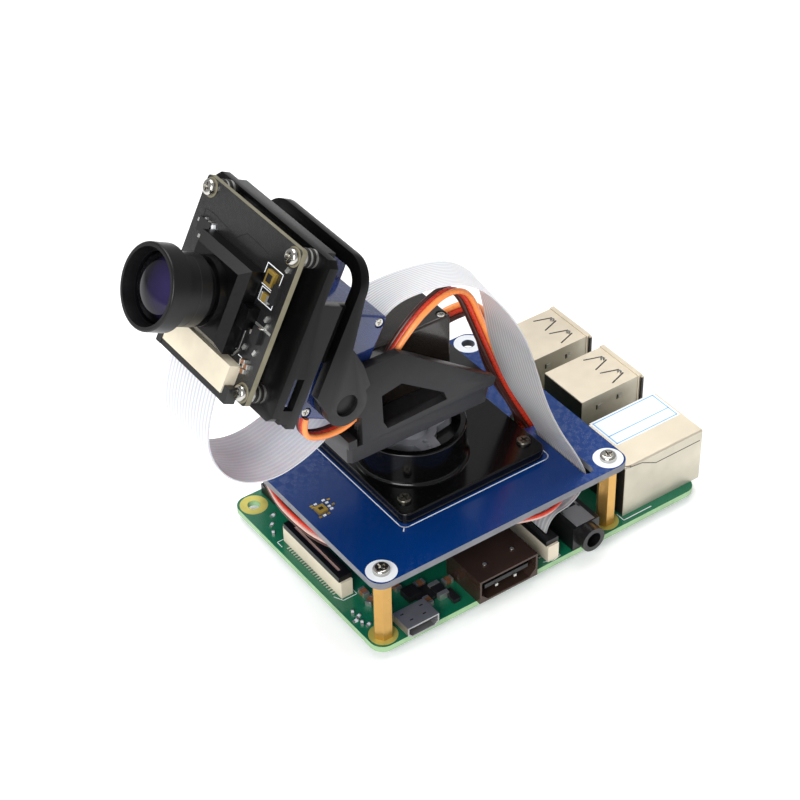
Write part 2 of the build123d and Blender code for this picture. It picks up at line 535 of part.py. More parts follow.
def save_servo(name, place, gland):
    """Place one servo, with an opening in its cap where its lead comes out."""
    parts = servo_parts()
    save(f"{name}_servo_gearcase", place * parts["gearcase"])
    save(f"{name}_servo_case", place * parts["case"])
    save(f"{name}_servo_cap", place * parts["cap"] - gland)
    save(f"{name}_servo_screws", [place * s for s in parts["screws"]])


def pan_servo():
    place = Pos(PAN_X, 0, PAN_BOSS_END) * Rot(180, 0, 0) * Rot(0, 0, 180)
    gland = block(*PAN_GLAND)
    save_servo("pan", place, gland)


# ---------------------------------------------------------------- pan bracket
# Side view of a bracket plate, ear, sloping back edge and pointed tail, and of its window
BRACKET_OUTLINE = (
    (-25.5, SLAB_Z1), (-25.5, 49.6), (-34.5, 54.6), (-28.0, 61.2), (-16.3, 61.2), (7.1, 44.3),
    (6.4, SLAB_Z1),
)
BRACKET_WINDOW = (
    (-16.0, 53.6), (-20.7, 52.7), (-20.5, 46.1), (-19.5, 44.1), (-5.1, 44.5), (-5.9, 46.6),
)


def bracket_plate(y0, y1):
    """One side plate with its lightening window and the round ear for the tilt axis."""
    plate = side_plate(BRACKET_OUTLINE, y0, y1)
    reach = 3 * EAR_R
    front = block(PIVOT_X - reach, PIVOT_X, y0 - CUT, y1 + CUT, PIVOT_Z - reach, PIVOT_Z + reach)
    plate -= front
    plate += rod_y(PIVOT_X, PIVOT_Z, EAR_R, y0, y1)
    return plate - side_plate(BRACKET_WINDOW, y0 - CUT, y1 + CUT)


def half_slab():
    """The near half of the floor that clamps the pan servo's flange."""
    slab = block(SLAB_X0, SLAB_X1, -PLATE_OUT + SLAB_STEP, 0, SLAB_Z0, SLAB_Z1)
    left = slab.edges().filter_by(Axis.Z).group_by(Axis.Y)[0].sort_by(Axis.X)[0]
    slab = chamfer(left, SLAB_CHAMFER)
    tail = slab.edges().filter_by(Axis.Z).group_by(Axis.Y)[0].sort_by(Axis.X)[-1]
    slab = chamfer(tail, SLAB_TAIL_CHAMFER)
    wide = CASE_W + SERVO_GAP
    case_x0, case_x1 = PAN_X - CASE_FAR_END, PAN_X + CASE_SHAFT_END
    case = block(case_x0 - SERVO_GAP, case_x1 + SERVO_GAP, -wide, CUT, SLAB_Z0 - CUT, SLAB_Z1 + CUT)
    over = FLANGE_OVER + SERVO_GAP
    flange = block(case_x0 - over, case_x1 + over, -wide, CUT, SLAB_Z0 - CUT, FLANGE_SEAT_Z)
    return slab - case - flange


def clamp_lip():
    """The lip at the front of the near half, which slopes down towards the middle."""
    lip = block(*LIP_X, -PLATE_OUT + SLAB_STEP, LIP_END_Y, SLAB_Z1, LIP_Z1)
    slope = ((-PLATE_OUT, LIP_Z1), (LIP_TOP_Y, LIP_Z1), (LIP_END_Y, SLAB_Z1), (-PLATE_OUT, SLAB_Z1))
    face = make_face(Polyline(*slope, close=True))
    return lip & extrude(Plane.YZ.offset(LIP_X[0] - CUT) * face, LIP_X[1] - LIP_X[0] + 2 * CUT)


def bracket_near():
    half = half_slab() + bracket_plate(-PLATE_OUT, -PLATE_IN) + clamp_lip()
    half += rod_y(CLIP_X, CLIP_NEAR_Z, CLIP_NEAR_R, -PLATE_IN - 0.5, -PLATE_IN + 0.6)
    half += rod_y(PIVOT_X, PIVOT_Z, PIN_R, -PLATE_OUT - PIN_LEN, -PLATE_OUT + 0.5)
    save("bracket_near", half)


def bracket_far():
    plate = bracket_plate(PLATE_IN, PLATE_OUT)
    plate &= block(FAR_EAR_X, SLAB_X1, PLATE_IN - CUT, PLATE_OUT + CUT, SLAB_Z0, FAR_PLATE_TOP)
    half = flip_y(half_slab()) + plate
    half += block(FAR_EAR_X, FAR_EAR_EDGE_X, PLATE_IN, FAR_EAR_OUT, FAR_EAR_Z0, FAR_EAR_Z1)
    outline = (
        (FAR_EAR_EDGE_X, FAR_EAR_Z0), (FAR_EAR_X, FAR_EAR_Z0), (PIVOT_X - 1.0, PIVOT_Z - 4.5),
        (PIVOT_X, PIVOT_Z + EAR_R), (FAR_EAR_X, FAR_EAR_Z1), (FAR_EAR_EDGE_X, FAR_EAR_Z1),
    )
    ear = side_plate(outline, FAR_EAR_IN, FAR_EAR_OUT)
    ear += rod_y(PIVOT_X, PIVOT_Z, EAR_R + FAR_EAR_OVER, FAR_EAR_IN, FAR_EAR_OUT)
    ear -= rod_y(PIVOT_X, PIVOT_Z, HORN_HUB_R + SPLINE_PLAY, FAR_EAR_IN - CUT, FAR_EAR_OUT + CUT)
    half += ear
    half += rod_y(CLIP_X, CLIP_FAR_Z, CLIP_FAR_R, PLATE_IN - 0.1, PLATE_OUT - SLAB_STEP)
    save("bracket_far", half)


def tilt_horn():
    """The fixed horn in the far ear that the tilt servo turns itself about."""
    x, z, half = PIVOT_X, PIVOT_Z, TILT_ARM_HALF
    horn = rod_y(x, z, TILT_DISC_R, TILT_HORN_Y, FAR_EAR_IN)
    arm = block(x, x + TILT_ARM_LEN, TILT_HORN_Y, FAR_EAR_IN, z - half, z + half)
    horn += fillet(arm.edges().filter_by(Axis.Y).group_by(Axis.X)[-1], TILT_ARM_END)
    horn += rod_y(x, z, HORN_HUB_R, TILT_HORN_Y, TILT_HUB_Y)
    horn -= rod_y(x, z, SPLINE_R, TILT_HORN_Y - CUT, TILT_SOCKET_Y)
    horn -= rod_y(x, z, HORN_BORE_R, TILT_SOCKET_Y - CUT, TILT_HUB_Y + CUT)
    save("tilt_horn", horn)
    screw = pan_head_screw(*TILT_HORN_SCREW)
    save("tilt_horn_screw", Pos(x, TILT_HUB_Y, z) * Rot(-90, 0, 0) * screw)
    shaft = rod_y(x, z, SPLINE_R, TILT_SHAFT_Y, TILT_SOCKET_Y)
    bore = rod_y(x, z, SHAFT_BORE, TILT_SHAFT_Y + 0.5, TILT_SOCKET_Y + CUT)
    save("tilt_output_shaft", shaft - bore)


# ---------------------------------------------------------------- tilt head
def in_head(shape):
    """Move a level head piece, drawn with x = -F and z = U, to its rest tilt."""
    return Pos(PIVOT_X, 0, PIVOT_Z) * Rot(0, REST_TILT, 0) * shape


def head_block(f0, f1, y0, y1, u0, u1):
    """A block in head coordinates."""
    return block(-f1, -f0, y0, y1, u0, u1)


def head_outline(points, y0, y1):
    """A plate with an outline of (F, U) points."""
    return side_plate([(-f, u) for f, u in points], y0, y1)


def front_plate():
    back, front, half, low, high = HEAD_PLATE
    plate = head_block(back, front, -half, half, low, high)
    plate = chamfer(plate.edges().filter_by(Axis.X), PLATE_CHAMFER)
    return plate - head_block(back - CUT, front + CUT, *PLATE_WINDOW)


def hoop():
    inner = HOOP_Y - HOOP_W
    ring = head_block(HOOP_BACK, HOOP_FRONT, -HOOP_Y, HOOP_Y, HOOP_FOOT, HOOP_TOP)
    ring = fillet(ring.edges().filter_by(Axis.X).group_by(Axis.Z)[-1], HOOP_R)
    top = HOOP_TOP - HOOP_W
    hollow = head_block(HOOP_BACK - CUT, HOOP_FRONT + CUT, -inner, inner, 0.0, top)
    hollow = fillet(hollow.edges().filter_by(Axis.X).group_by(Axis.Z)[-1], HOOP_R - HOOP_W)
    return ring - hollow


def near_arm():
    outline = ((8, 22.7), (6, 22.7), (4, 12), (-0.2, 8.7), (-3.7, 4.7), (1.1, -4.3), (8, 1.2))
    arm = head_outline(outline, -ARM_OUT, -ARM_IN)
    arm += rod_y(0, 0, EAR_R, -ARM_OUT, -ARM_IN)
    return arm - rod_y(0, 0, ARM_HOLE_R, -ARM_OUT - CUT, -ARM_IN + CUT)


def far_arm():
    outline = ((8, 22.7), (6, 22.7), (4, 12), (2.4, 8.0), (8, 8.0))
    return head_outline(outline, ARM_IN, FAR_ARM_OUT)


def head_sides():
    """Side flanges, webs between hoop and plate, and the top flange."""
    back, low = HEAD_PLATE[0], HEAD_PLATE[3]
    sides = head_block(back - 2.0, back, -15.0, 15.0, HEAD_PLATE[4] - 2.0, HEAD_PLATE[4])
    for side in (-1, 1):
        flange = head_block(*FLANGE_BACK, *SIDE_FLANGE_Y, HOOK_TOP, SIDE_FLANGE_TOP)
        flange += head_block(*HOOK_BACK, *SIDE_FLANGE_Y, HOOK_LOW, HOOK_TOP)
        flange += head_block(HOOK_BACK[1], back, *SIDE_FLANGE_Y, low, 0.0)
        web = head_block(HOOP_BACK, back, -ARM_IN, -13.0, HOOP_FOOT, WEB_TOP)
        web += head_block(13.2, 15.2, -17.5, -14.0, HOOP_FOOT, WEB_TOP)
        pair = flange + web
        sides += pair if side < 0 else flip_y(pair)
    return sides


def cradle():
    """The wall that carries the tilt servo by its flange, open around the case."""
    low, high, gap = -CASE_SHAFT_END, CASE_FAR_END, SERVO_GAP
    back, deep, mouth = CRADLE_BACK, (CRADLE_IN, CRADLE_OUT), CASE_W + SERVO_GAP
    wide = (CRADLE_IN - 10, CRADLE_OUT + CUT)
    wall = head_block(back, CRADLE_FRONT, *deep, low - FLANGE_OVER, high + FLANGE_OVER)
    wall = fillet(wall.edges().filter_by(Axis.Y).group_by(Axis.Z)[0], FLANGE_CORNER)
    wall -= head_block(back - 2, mouth, *wide, low - gap, high + gap)
    wall += head_block(back, CASE_W, *deep, high + gap, high + FLANGE_OVER)
    wall -= head_block(mouth, CRADLE_FRONT + 2, *wide, low - 6, 2.0)
    wall += head_block(RAIL_F, CASE_W + RAIL_OVER, *deep, low - RAIL_END_U, low - gap)
    wall += head_block(mouth, CASE_W + RAIL_OVER, *deep, low - RAIL_END_U, 4.0)
    for u in flange_holes():
        wall -= rod_y(0, u, CRADLE_BORE_R, *wide)
    return wall


def head_frame():
    frame = front_plate() + hoop() + near_arm() + far_arm() + head_sides() + cradle()
    for y, u in pcb_corners():
        frame -= rod_x(y, u, SPACER_BORE, -HEAD_PLATE[1] - CUT, -HEAD_PLATE[0] + 2 * CUT)
    save("head_frame", in_head(frame))


def tilt_servo():
    place = Pos(0, TILT_BOSS_END, 0) * Rot(-90, 0, 0) * Rot(0, 0, -90)
    save_servo("tilt", in_head(place), in_head(head_block(*TILT_GLAND)))
    screw = Rot(90, 0, 0) * pan_head_screw(*SERVO_MOUNT_SCREW)
    screws = [in_head(Pos(0, CRADLE_SCREW_Y, u) * screw) for u in flange_holes()]
    save("servo_mount_screws", screws)


# ---------------------------------------------------------------- camera
def pcb_corners():
    return [(y, PCB_U + u) for y in (-PCB_HOLE, PCB_HOLE) for u in (-PCB_HOLE, PCB_HOLE)]


def camera_board():
    half = PCB_SIDE / 2
    board = head_block(PCB_F - PCB_T, PCB_F, -half, half, PCB_U - half, PCB_U + half)
    board = fillet(board.edges().filter_by(Axis.X), PCB_CORNER)
    for y, u in pcb_corners():
        board -= rod_x(y, u, PCB_HOLE_R, -PCB_F - CUT, -PCB_F + PCB_T + CUT)
    save("camera_board", in_head(board))
    fixing = pan_head_screw(PCB_SCREW_R, PCB_SCREW_H, PCB_SHANK_R, PCB_SCREW_LEN)
    screws, spacers = [], []
    for y, u in pcb_corners():
        screws.append(in_head(Pos(-PCB_F, y, u) * Rot(0, -90, 0) * fixing))
        spacer = rod_x(y, u, SPACER_R, -PCB_F + PCB_T, -HEAD_PLATE[1])
        bore = rod_x(y, u, SPACER_BORE, -PCB_F + PCB_T - CUT, -HEAD_PLATE[1] + CUT)
        spacers.append(in_head(spacer - bore))
    save("camera_screws", screws)
    save("camera_spacers", spacers)


def camera_connector():
    body = head_block(PCB_F, PCB_F + CONNECTOR_H, *CONNECTOR_Y, *CONNECTOR_U)
    latch = head_block(PCB_F + LATCH_H[0], PCB_F + LATCH_H[1], *LATCH_Y, *LATCH_U)
    chips = [head_block(PCB_F, PCB_F + height, *place) for height, place in CAMERA_CHIPS]
    save("camera_connector", in_head(body))
    save("camera_latch", in_head(latch))
    save("camera_chips", [in_head(chip) for chip in chips])


def lens_holder():
    half, top = HOLDER_HALF, PCB_F + HOLDER_FOOT
    foot = head_block(PCB_F, top, -half, half, LENS_U - half, LENS_U + half)
    foot = chamfer(foot.faces().sort_by(Axis.X)[0].edges(), HOLDER_CHAMFER)
    lug = head_block(PCB_F, PCB_F + LUG_H, -LUG_Y, LUG_Y, LENS_U - LUG_U, LENS_U + LUG_U)
    holder = foot + lug + rod_x(0, LENS_U, HOLDER_TUBE_R, -HOLDER_TUBE_F, -PCB_F)
    floor, bore_r = PCB_F + HOLDER_FLOOR, THREAD_R + SPLINE_PLAY
    holder -= rod_x(0, LENS_U, bore_r, -PCB_F - HOLDER_BORE_DEPTH, -floor)
    save("lens_holder", in_head(holder))


def lens_barrel():
    """The stepped barrel, its wide rim and the flare inside it that leads to the dome."""
    back, front = PCB_F + 1.2, LENS_FRONT
    rim_back, flare_len, overlap = front - RIM_LEN, 2.4, 0.1
    barrel = rod_x(0, LENS_U, THREAD_R, -(BARREL_BACK + overlap), -back)
    barrel += rod_x(0, LENS_U, BARREL_R, -(rim_back + overlap), -BARREL_BACK)
    rim = rod_x(0, LENS_U, RIM_R, -front, -rim_back)
    barrel += fillet(rim.edges().group_by(Axis.X)[0], 0.4)
    flare = Cone(RIM_BORE, GLASS_R + 0.1, flare_len)
    barrel -= Pos(-(front - flare_len / 2), 0, LENS_U) * Rot(0, 90, 0) * flare
    barrel -= rod_x(0, LENS_U, GLASS_R + 0.05, -front, -(front - GLASS_DEPTH - 0.2))
    barrel -= rod_x(0, LENS_U, LENS_BORE, -front, -back - CUT)
    save("lens_barrel", in_head(barrel))
    dome = Pos(-(front - DOME_BACK), 0, LENS_U) * Sphere(DOME_R)
    cylinder = rod_x(0, LENS_U, GLASS_R, -front, -(front - GLASS_DEPTH))
    save("lens_glass", in_head(dome & cylinder))


# ---------------------------------------------------------------- ribbon and leads
def smooth_path(points):
    """Straight runs joined by arcs as large as the runs allow, and those arcs' radii."""
    vectors = [Vector(*p) for p in points]
    runs = [b - a for a, b in zip(vectors, vectors[1:])]
    radii = []
    for before, after in zip(runs, runs[1:]):
        half_turn = radians(before.get_angle(after)) / 2
        radii.append(0.45 * min(before.length, after.length) / tan(half_turn))
    return FilletPolyline(*points, radius=radii), radii


def flat_cord(name, points, across, thick):
    """A flat cord: across is its size in the plane of the route's bends, thick its size in Y."""
    path, radii = smooth_path(points)
    start = Plane(origin=path @ 0, z_dir=path % 0, x_dir=(0, 1, 0))
    solid = sweep(start * Rectangle(thick, across), path=path)
    turn = min(radii)
    print(f"{name}: length {path.length:.1f}, tightest radius {turn:.1f}")
    print(f"  volume {solid.volume:.1f}, section times length {across * thick * path.length:.1f}")
    save(name, solid)


def ribbon_cable():
    """The ribbon keeps its width along Y all the way, with a second line as its guide."""
    path, radii = smooth_path(RIBBON_ROUTE)
    guide = Pos(0, 20, 0) * path
    start = Plane(origin=path @ 0, z_dir=path % 0, x_dir=(0, 1, 0))
    solid = sweep(start * Rectangle(RIBBON_W, RIBBON_T), path=path, binormal=Wire(guide.edges()))
    section = RIBBON_W * RIBBON_T
    print(f"ribbon: length {path.length:.1f}, tightest radius {min(radii):.1f}")
    print(f"  volume {solid.volume:.1f}, section times length {section * path.length:.1f}")
    save("ribbon_cable", solid)


def main():
    os.makedirs("parts", exist_ok=True)
    main_board()
    header()
    ethernet_port()
    usb_ports()
    hdmi_port()
    microusb_port()
    audio_jack()
    ribbon_ports()
    board_chips()
    standoffs()
    upper_board()
    servo_plugs()
    base_plate()
    base_fasteners()
    pan_horn()
    pan_horn_fixings()
    pan_servo()
    bracket_near()
    bracket_far()
    tilt_horn()
    head_frame()
    tilt_servo()
    camera_board()
    camera_connector()
    lens_holder()
    lens_barrel()
    ribbon_cable()
    flat_cord("tilt_servo_lead", TILT_LEAD_ROUTE, LEAD_W, LEAD_T)
    flat_cord("pan_servo_lead", PAN_LEAD_ROUTE, LEAD_W, LEAD_T)


main()
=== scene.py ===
"""Looks of the pan tilt camera mount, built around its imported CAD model.

Lengths are in mm in the board frame, whose origin is the centre of the main board's hole
rectangle on its underside. at() turns a place in it into metres in the row frame.
"""

import json
from math import cos, pi, radians, sin
import bmesh
import bpy
from mathutils import Matrix, Vector


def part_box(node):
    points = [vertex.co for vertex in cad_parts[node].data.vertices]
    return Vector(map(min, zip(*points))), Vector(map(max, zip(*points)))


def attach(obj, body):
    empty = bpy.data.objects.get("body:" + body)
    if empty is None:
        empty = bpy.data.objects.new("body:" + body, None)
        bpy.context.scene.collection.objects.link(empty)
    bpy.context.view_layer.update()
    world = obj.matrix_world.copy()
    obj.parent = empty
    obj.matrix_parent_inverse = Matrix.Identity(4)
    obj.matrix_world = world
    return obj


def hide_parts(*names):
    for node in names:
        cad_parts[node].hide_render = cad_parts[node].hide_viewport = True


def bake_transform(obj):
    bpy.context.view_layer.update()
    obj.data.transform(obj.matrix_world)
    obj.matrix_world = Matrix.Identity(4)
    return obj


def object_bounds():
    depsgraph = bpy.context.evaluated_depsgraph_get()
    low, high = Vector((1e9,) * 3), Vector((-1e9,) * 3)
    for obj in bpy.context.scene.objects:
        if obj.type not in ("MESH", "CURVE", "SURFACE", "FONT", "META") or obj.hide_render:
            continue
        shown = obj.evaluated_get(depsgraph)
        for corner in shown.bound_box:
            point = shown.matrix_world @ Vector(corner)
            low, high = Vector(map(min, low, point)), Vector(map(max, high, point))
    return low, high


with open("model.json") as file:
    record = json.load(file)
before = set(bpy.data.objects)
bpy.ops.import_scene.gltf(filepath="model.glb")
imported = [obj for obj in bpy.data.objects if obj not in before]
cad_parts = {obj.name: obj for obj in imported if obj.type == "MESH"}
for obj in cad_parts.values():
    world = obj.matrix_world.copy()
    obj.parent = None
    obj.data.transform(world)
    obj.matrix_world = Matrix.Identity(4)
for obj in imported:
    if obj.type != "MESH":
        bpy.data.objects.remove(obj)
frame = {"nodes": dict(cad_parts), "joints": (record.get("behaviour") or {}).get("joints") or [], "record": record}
CAD_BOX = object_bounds()
MM = 0.001

# ------------------------------------------------------------------ driving sizes
BOARD_CORNER = (-32.5, -28.0, 0.0)
REST_TILT = 27.0
BOARD_TOP, HAT_TOP = 1.4, 19.0
HOLE_X, HOLE_Y = 29.0, 24.5
BOARD_HOLES = ((-HOLE_X, HOLE_Y), (-HOLE_X, -HOLE_Y), (HOLE_X, -HOLE_Y), (HOLE_X, HOLE_Y))
ETHERNET_TOP, USB_TOP, HDMI_TOP, MICRO_TOP, JACK_TOP = 14.9, 17.4, 7.4, 4.3, 7.4
USB_Y, USB_HALF = (1.0, 19.0), 6.5
PCB_F, PCB_HOLE_X, PCB_HOLES_U = 24.0, 14.0, (0.7, 28.7)
LENS_U = 14.1
RIBBON_W, RIBBON_T, RIBBON_STEPS = 16.0, 0.3, 16
WIRE_R, WIRE_PITCH, WIRE_SIDES = 0.6, 1.15, 12
TUCKED_R, TUCKED_SIDES = 0.42, 10
EDGE_ROUNDING, INK = 0.22, 0.02
END_SHARE, BODY_SHARE = 0.24, 0.96

# Angles in degrees: edges kept sharp on solids and on cords, corners to round, flats to merge
SHARP_SOLID, SHARP_CORD, CORNER_ANGLE, FLAT_ANGLE = 35.0, 60.0, 30.0, 1.0
SAME_PLACE = 2e-6

# The board frame, and the head frame about the tilt axis with X backward and Z up
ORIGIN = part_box("main_board")[0] - Vector(BOARD_CORNER) * MM
BOARD_FRAME = Matrix.Translation(ORIGIN) @ Matrix.Scale(MM, 4)
TILT_JOINT = next(j for j in frame["joints"] if j["name"] == "tilt")
HEAD_FRAME = (
    Matrix.Translation(Vector(TILT_JOINT["pos_m"]))
    @ Matrix.Rotation(radians(REST_TILT), 4, "Y")
    @ Matrix.Scale(MM, 4)
)
# The head frame turned upright: X is its -Y, Y is up and Z is forward
UPRIGHT_HEAD = HEAD_FRAME @ Matrix(((0, 0, -1, 0), (-1, 0, 0, 0), (0, 1, 0, 0), (0, 0, 0, 1)))

# The free ribbon and leads: each point is a place and the direction across the flat cord
ACROSS, TURNING, CREST, FALLING = (
    (0.0, -1.0, 0.0), (-0.15, -0.98, 0.14), (-0.38, -0.86, 0.33), (-0.13, -0.98, 0.14)
)
RIBBON_ROUTE = (
    ((-54.0, -1.0, 66.0), ACROSS), ((-56.9, -1.0, 58.4), ACROSS), ((-56.1, -1.0, 49.6), ACROSS),
    ((-51.2, -1.0, 42.4), ACROSS), ((-43.2, -1.0, 39.2), ACROSS), ((-35.0, -1.0, 41.0), ACROSS),
    ((-28.3, -1.0, 45.0), ACROSS), ((-24.6, -1.0, 50.6), ACROSS), ((-22.6, -1.0, 56.6), ACROSS),
    ((-18.4, -1.2, 62.4), TURNING), ((-10.4, -3.2, 67.8), CREST), ((-1.6, -9.4, 71.6), CREST),
    ((3.6, -13.6, 69.4), CREST), ((6.6, -16.6, 61.6), FALLING), ((8.6, -17.0, 52.4), ACROSS),
    ((11.4, -17.0, 42.4), ACROSS), ((15.4, -17.0, 33.0), ACROSS), ((20.2, -17.0, 24.4), ACROSS),
    ((23.5, -17.0, 16.6), ACROSS), ((19.4, -17.0, 11.4), ACROSS), ((13.4, -17.0, 11.2), ACROSS),
    ((12.5, -17.0, 7.0), ACROSS),
)
BAND, DROP = (-0.06, -0.97, 0.10), (0.62, -0.72, 0.32)
TILT_LEAD_ROUTE = (
    ((-36.6, -10.6, 53.2), BAND), ((-37.9, -10.7, 49.6), BAND), ((-33.6, -10.7, 46.9), BAND),
    ((-27.4, -10.7, 46.6), BAND), ((-21.9, -10.3, 50.0), BAND), ((-17.6, -9.8, 55.4), BAND),
    ((-13.6, -9.8, 60.6), BAND), ((-8.4, -9.8, 65.2), BAND), ((-1.6, -9.2, 67.4), BAND),
    ((3.6, -7.8, 63.2), DROP), ((6.9, -7.0, 55.2), DROP), ((10.2, -6.7, 46.6), DROP),
    ((13.8, -6.3, 37.6), DROP), ((18.0, -5.6, 28.8), DROP), ((22.4, -4.9, 20.6), DROP),
    ((24.4, -5.6, 16.4), DROP), ((22.6, -6.3, 13.0), DROP), ((19.0, -6.3, 13.0), DROP),
)
UP, SIDE = (0.2, 0.3, 0.93), (0.82, -0.57, 0.0)
PAN_LEAD_ROUTE = (
    ((1.7, -3.4, 55.2), UP), ((5.9, -3.4, 55.8), UP), ((10.4, -3.6, 53.8), SIDE),
    ((11.3, -3.9, 48.0), SIDE), ((13.0, -3.8, 40.4), SIDE), ((16.4, -3.4, 32.0), SIDE),
    ((20.8, -3.0, 24.4), SIDE), ((23.8, -2.7, 17.0), SIDE), ((22.6, -1.5, 13.0), SIDE),
    ((19.0, -1.5, 13.0), SIDE),
)
# Where the ribbon and the tilt lead part into two pieces
RIBBON_SPLIT, TILT_LEAD_SPLIT = (-22.4, -1.0, 56.6), (-19.5, -10.0, 52.8)

# Camera: its place, what it looks at, its roll in degrees and its lens
CAMERA_AT, CAMERA_TARGET = (-205.15, -287.25, 317.6), (10.5, 25.0, 11.4)
CAMERA_ROLL, CAMERA_LENS, SENSOR = -1.18, 98.59, 36.0

# Studio, in metres and watts: each lamp's place, what it looks at, its side and its power
LAMPS = {
    "top": ((0.10, 0.25, 0.85), (0, 0, 0.03), 0.7, 6.0),
    "front": ((-0.60, -0.45, 0.50), (0, 0, 0.05), 0.5, 6.5),
}
ROOM_LIGHT, FLOOR_GLOW, FLOOR_HALF, FLOOR_GAP = 0.42, 0.2, 3.0, 0.0002

# Conductors in the ribbon: their pitch, then half the gap between them and the blur of their
# edges as shares of it. The offset keeps places across above zero, with a conductor in the middle
CONDUCTOR_PITCH, HALF_GAP, CONDUCTOR_BLUR, CONDUCTOR_OFFSET = 1.0, 0.22, 0.06, 100.5
# The ribbon film's painted shade: it gets greyer over this length, up to this factor
PAINTED_SHADE_FADE, PAINTED_SHADE_GREY = 10.0, (0.62, 0.62, 0.61, 1.0)

# Tracks under the solder resist, as rings round the cells of a pattern
TRACK_CELLS, TRACK_SPREAD, TRACK_STEP, TRACK_EDGES = 420.0, 0.6, 0.09, (0.035, 0.055)

BLACK, WHITE = (0.0, 0.0, 0.0, 1.0), (1.0, 1.0, 1.0, 1.0)


def at(x, y, z):
    """A point of the board frame, in the row frame."""
    return BOARD_FRAME @ Vector((x, y, z))


# ------------------------------------------------------------------ shader nodes
def linear(value):
    """One display channel, 0 to 255, as scene-linear light."""
    c = value / 255
    return c / 12.92 if c <= 0.04045 else ((c + 0.055) / 1.055) ** 2.4


def colour(r, g, b):
    return (linear(r), linear(g), linear(b), 1.0)


def shaded(c, factor):
    return (c[0] * factor, c[1] * factor, c[2] * factor, 1.0)


def new_material(name):
    """A new material, its node tree and its shader."""
    material = bpy.data.materials.new(name)
    material.use_nodes = True
    tree = material.node_tree
    return material, tree, tree.nodes["Principled BSDF"]


def set_sockets(shader, sockets):
    """Set shader sockets from names written with underscores."""
    for key, value in sockets.items():
        shader.inputs[key.replace("_", " ")].default_value = value


def feed(tree, socket, value):
    """Link a socket to another, or give it a number or a colour."""
    if isinstance(value, bpy.types.NodeSocket):
        tree.links.new(value, socket)
    else:
        socket.default_value = value


def coordinate(tree, axis, chart=None):
    """One coordinate of the object's own space, or of one of its maps."""
    if chart:
        place = tree.nodes.new("ShaderNodeUVMap")
        place.uv_map = chart
        source = place.outputs["UV"]
    else:
        source = tree.nodes.new("ShaderNodeTexCoord").outputs["Object"]
    parts = tree.nodes.new("ShaderNodeSeparateXYZ")
    tree.links.new(source, parts.inputs["Vector"])
    return parts.outputs[axis]


def noise(tree, scale, detail=3.0):
    """Noise over the object's own coordinates, in cycles for each mm."""
    place = tree.nodes.new("ShaderNodeTexCoord")
    node = tree.nodes.new("ShaderNodeTexNoise")
    node.inputs["Scale"].default_value = scale / MM
    node.inputs["Detail"].default_value = detail
    tree.links.new(place.outputs["Object"], node.inputs["Vector"])
    return node.outputs["Fac"]


def ramp(tree, source, low, high, at_low=0.35, at_high=0.65):
    """A colour ramp between two colours."""
    node = tree.nodes.new("ShaderNodeValToRGB")
    start, end = node.color_ramp.elements
    start.position, end.position = at_low, at_high
    start.color, end.color = low, high
    tree.links.new(source, node.inputs["Fac"])
    return node.outputs["Color"]


def spread(tree, source, low, high, start=0.0, end=1.0):
    """A value from start to end, spread between two numbers."""
    node = tree.nodes.new("ShaderNodeMapRange")
    for name, value in (("From Min", start), ("From Max", end), ("To Min", low), ("To Max", high)):
        node.inputs[name].default_value = value
    tree.links.new(source, node.inputs["Value"])
    return node.outputs["Result"]


def sums(tree, operation, source, *values):
    """The outcome of one sum on a value and some numbers."""
    node = tree.nodes.new("ShaderNodeMath")
    node.operation = operation
    tree.links.new(source, node.inputs[0])
    for i, value in enumerate(values, 1):
        node.inputs[i].default_value = value
    return node.outputs[0]


def mixed(tree, factor, a, b, blend="MIX"):
    """Two colours or sockets blended."""
    node = tree.nodes.new("ShaderNodeMix")
    node.data_type = "RGBA"
    node.blend_type = blend
    feed(tree, node.inputs["Factor"], factor)
    feed(tree, node.inputs["A"], a)
    feed(tree, node.inputs["B"], b)
    return node.outputs["Result"]


def bumped(tree, shader, source, height, strength=1.0):
    """A bump on the shader, with its height in mm."""
    node = tree.nodes.new("ShaderNodeBump")
    node.inputs["Strength"].default_value = strength
    node.inputs["Distance"].default_value = height * MM
    tree.links.new(source, node.inputs["Height"])
    tree.links.new(node.outputs["Normal"], shader.inputs["Normal"])


def worn(tree, shader, rough, scale, low=0.8, high=1.2, detail=3.0):
    """Roughness that varies in patches between two shares of its usual value."""
    wear = spread(tree, noise(tree, scale, detail), rough * low, rough * high)
    tree.links.new(wear, shader.inputs["Roughness"])


# ------------------------------------------------------------------ kinds of material
def surface(name, base, rough, metal=0.0, vary=0.12, patch=0.25, grain=8.0, height=0.004, **sockets):
    """A surface whose colour and roughness vary in patches, with a fine grain as its bump."""
    material, tree, shader = new_material(name)
    tint = ramp(tree, noise(tree, patch), shaded(base, 1 - vary), shaded(base, 1 + vary))
    tree.links.new(tint, shader.inputs["Base Color"])
    worn(tree, shader, rough, patch * 6, detail=5.0)
    bumped(tree, shader, noise(tree, grain, 2.0), height)
    shader.inputs["Metallic"].default_value = metal
    set_sockets(shader, sockets)
    return material


def track_value(tree):
    """1 on the tracks of a board and 0 between them."""
    place = tree.nodes.new("ShaderNodeTexCoord")
    cells = tree.nodes.new("ShaderNodeTexVoronoi")
    cells.distance, cells.feature = "MANHATTAN", "F1"
    cells.inputs["Scale"].default_value = TRACK_CELLS
    cells.inputs["Randomness"].default_value = TRACK_SPREAD
    tree.links.new(place.outputs["Object"], cells.inputs["Vector"])
    rings = sums(tree, "PINGPONG", cells.outputs["Distance"], TRACK_STEP)
    return ramp(tree, rings, BLACK, WHITE, *TRACK_EDGES)


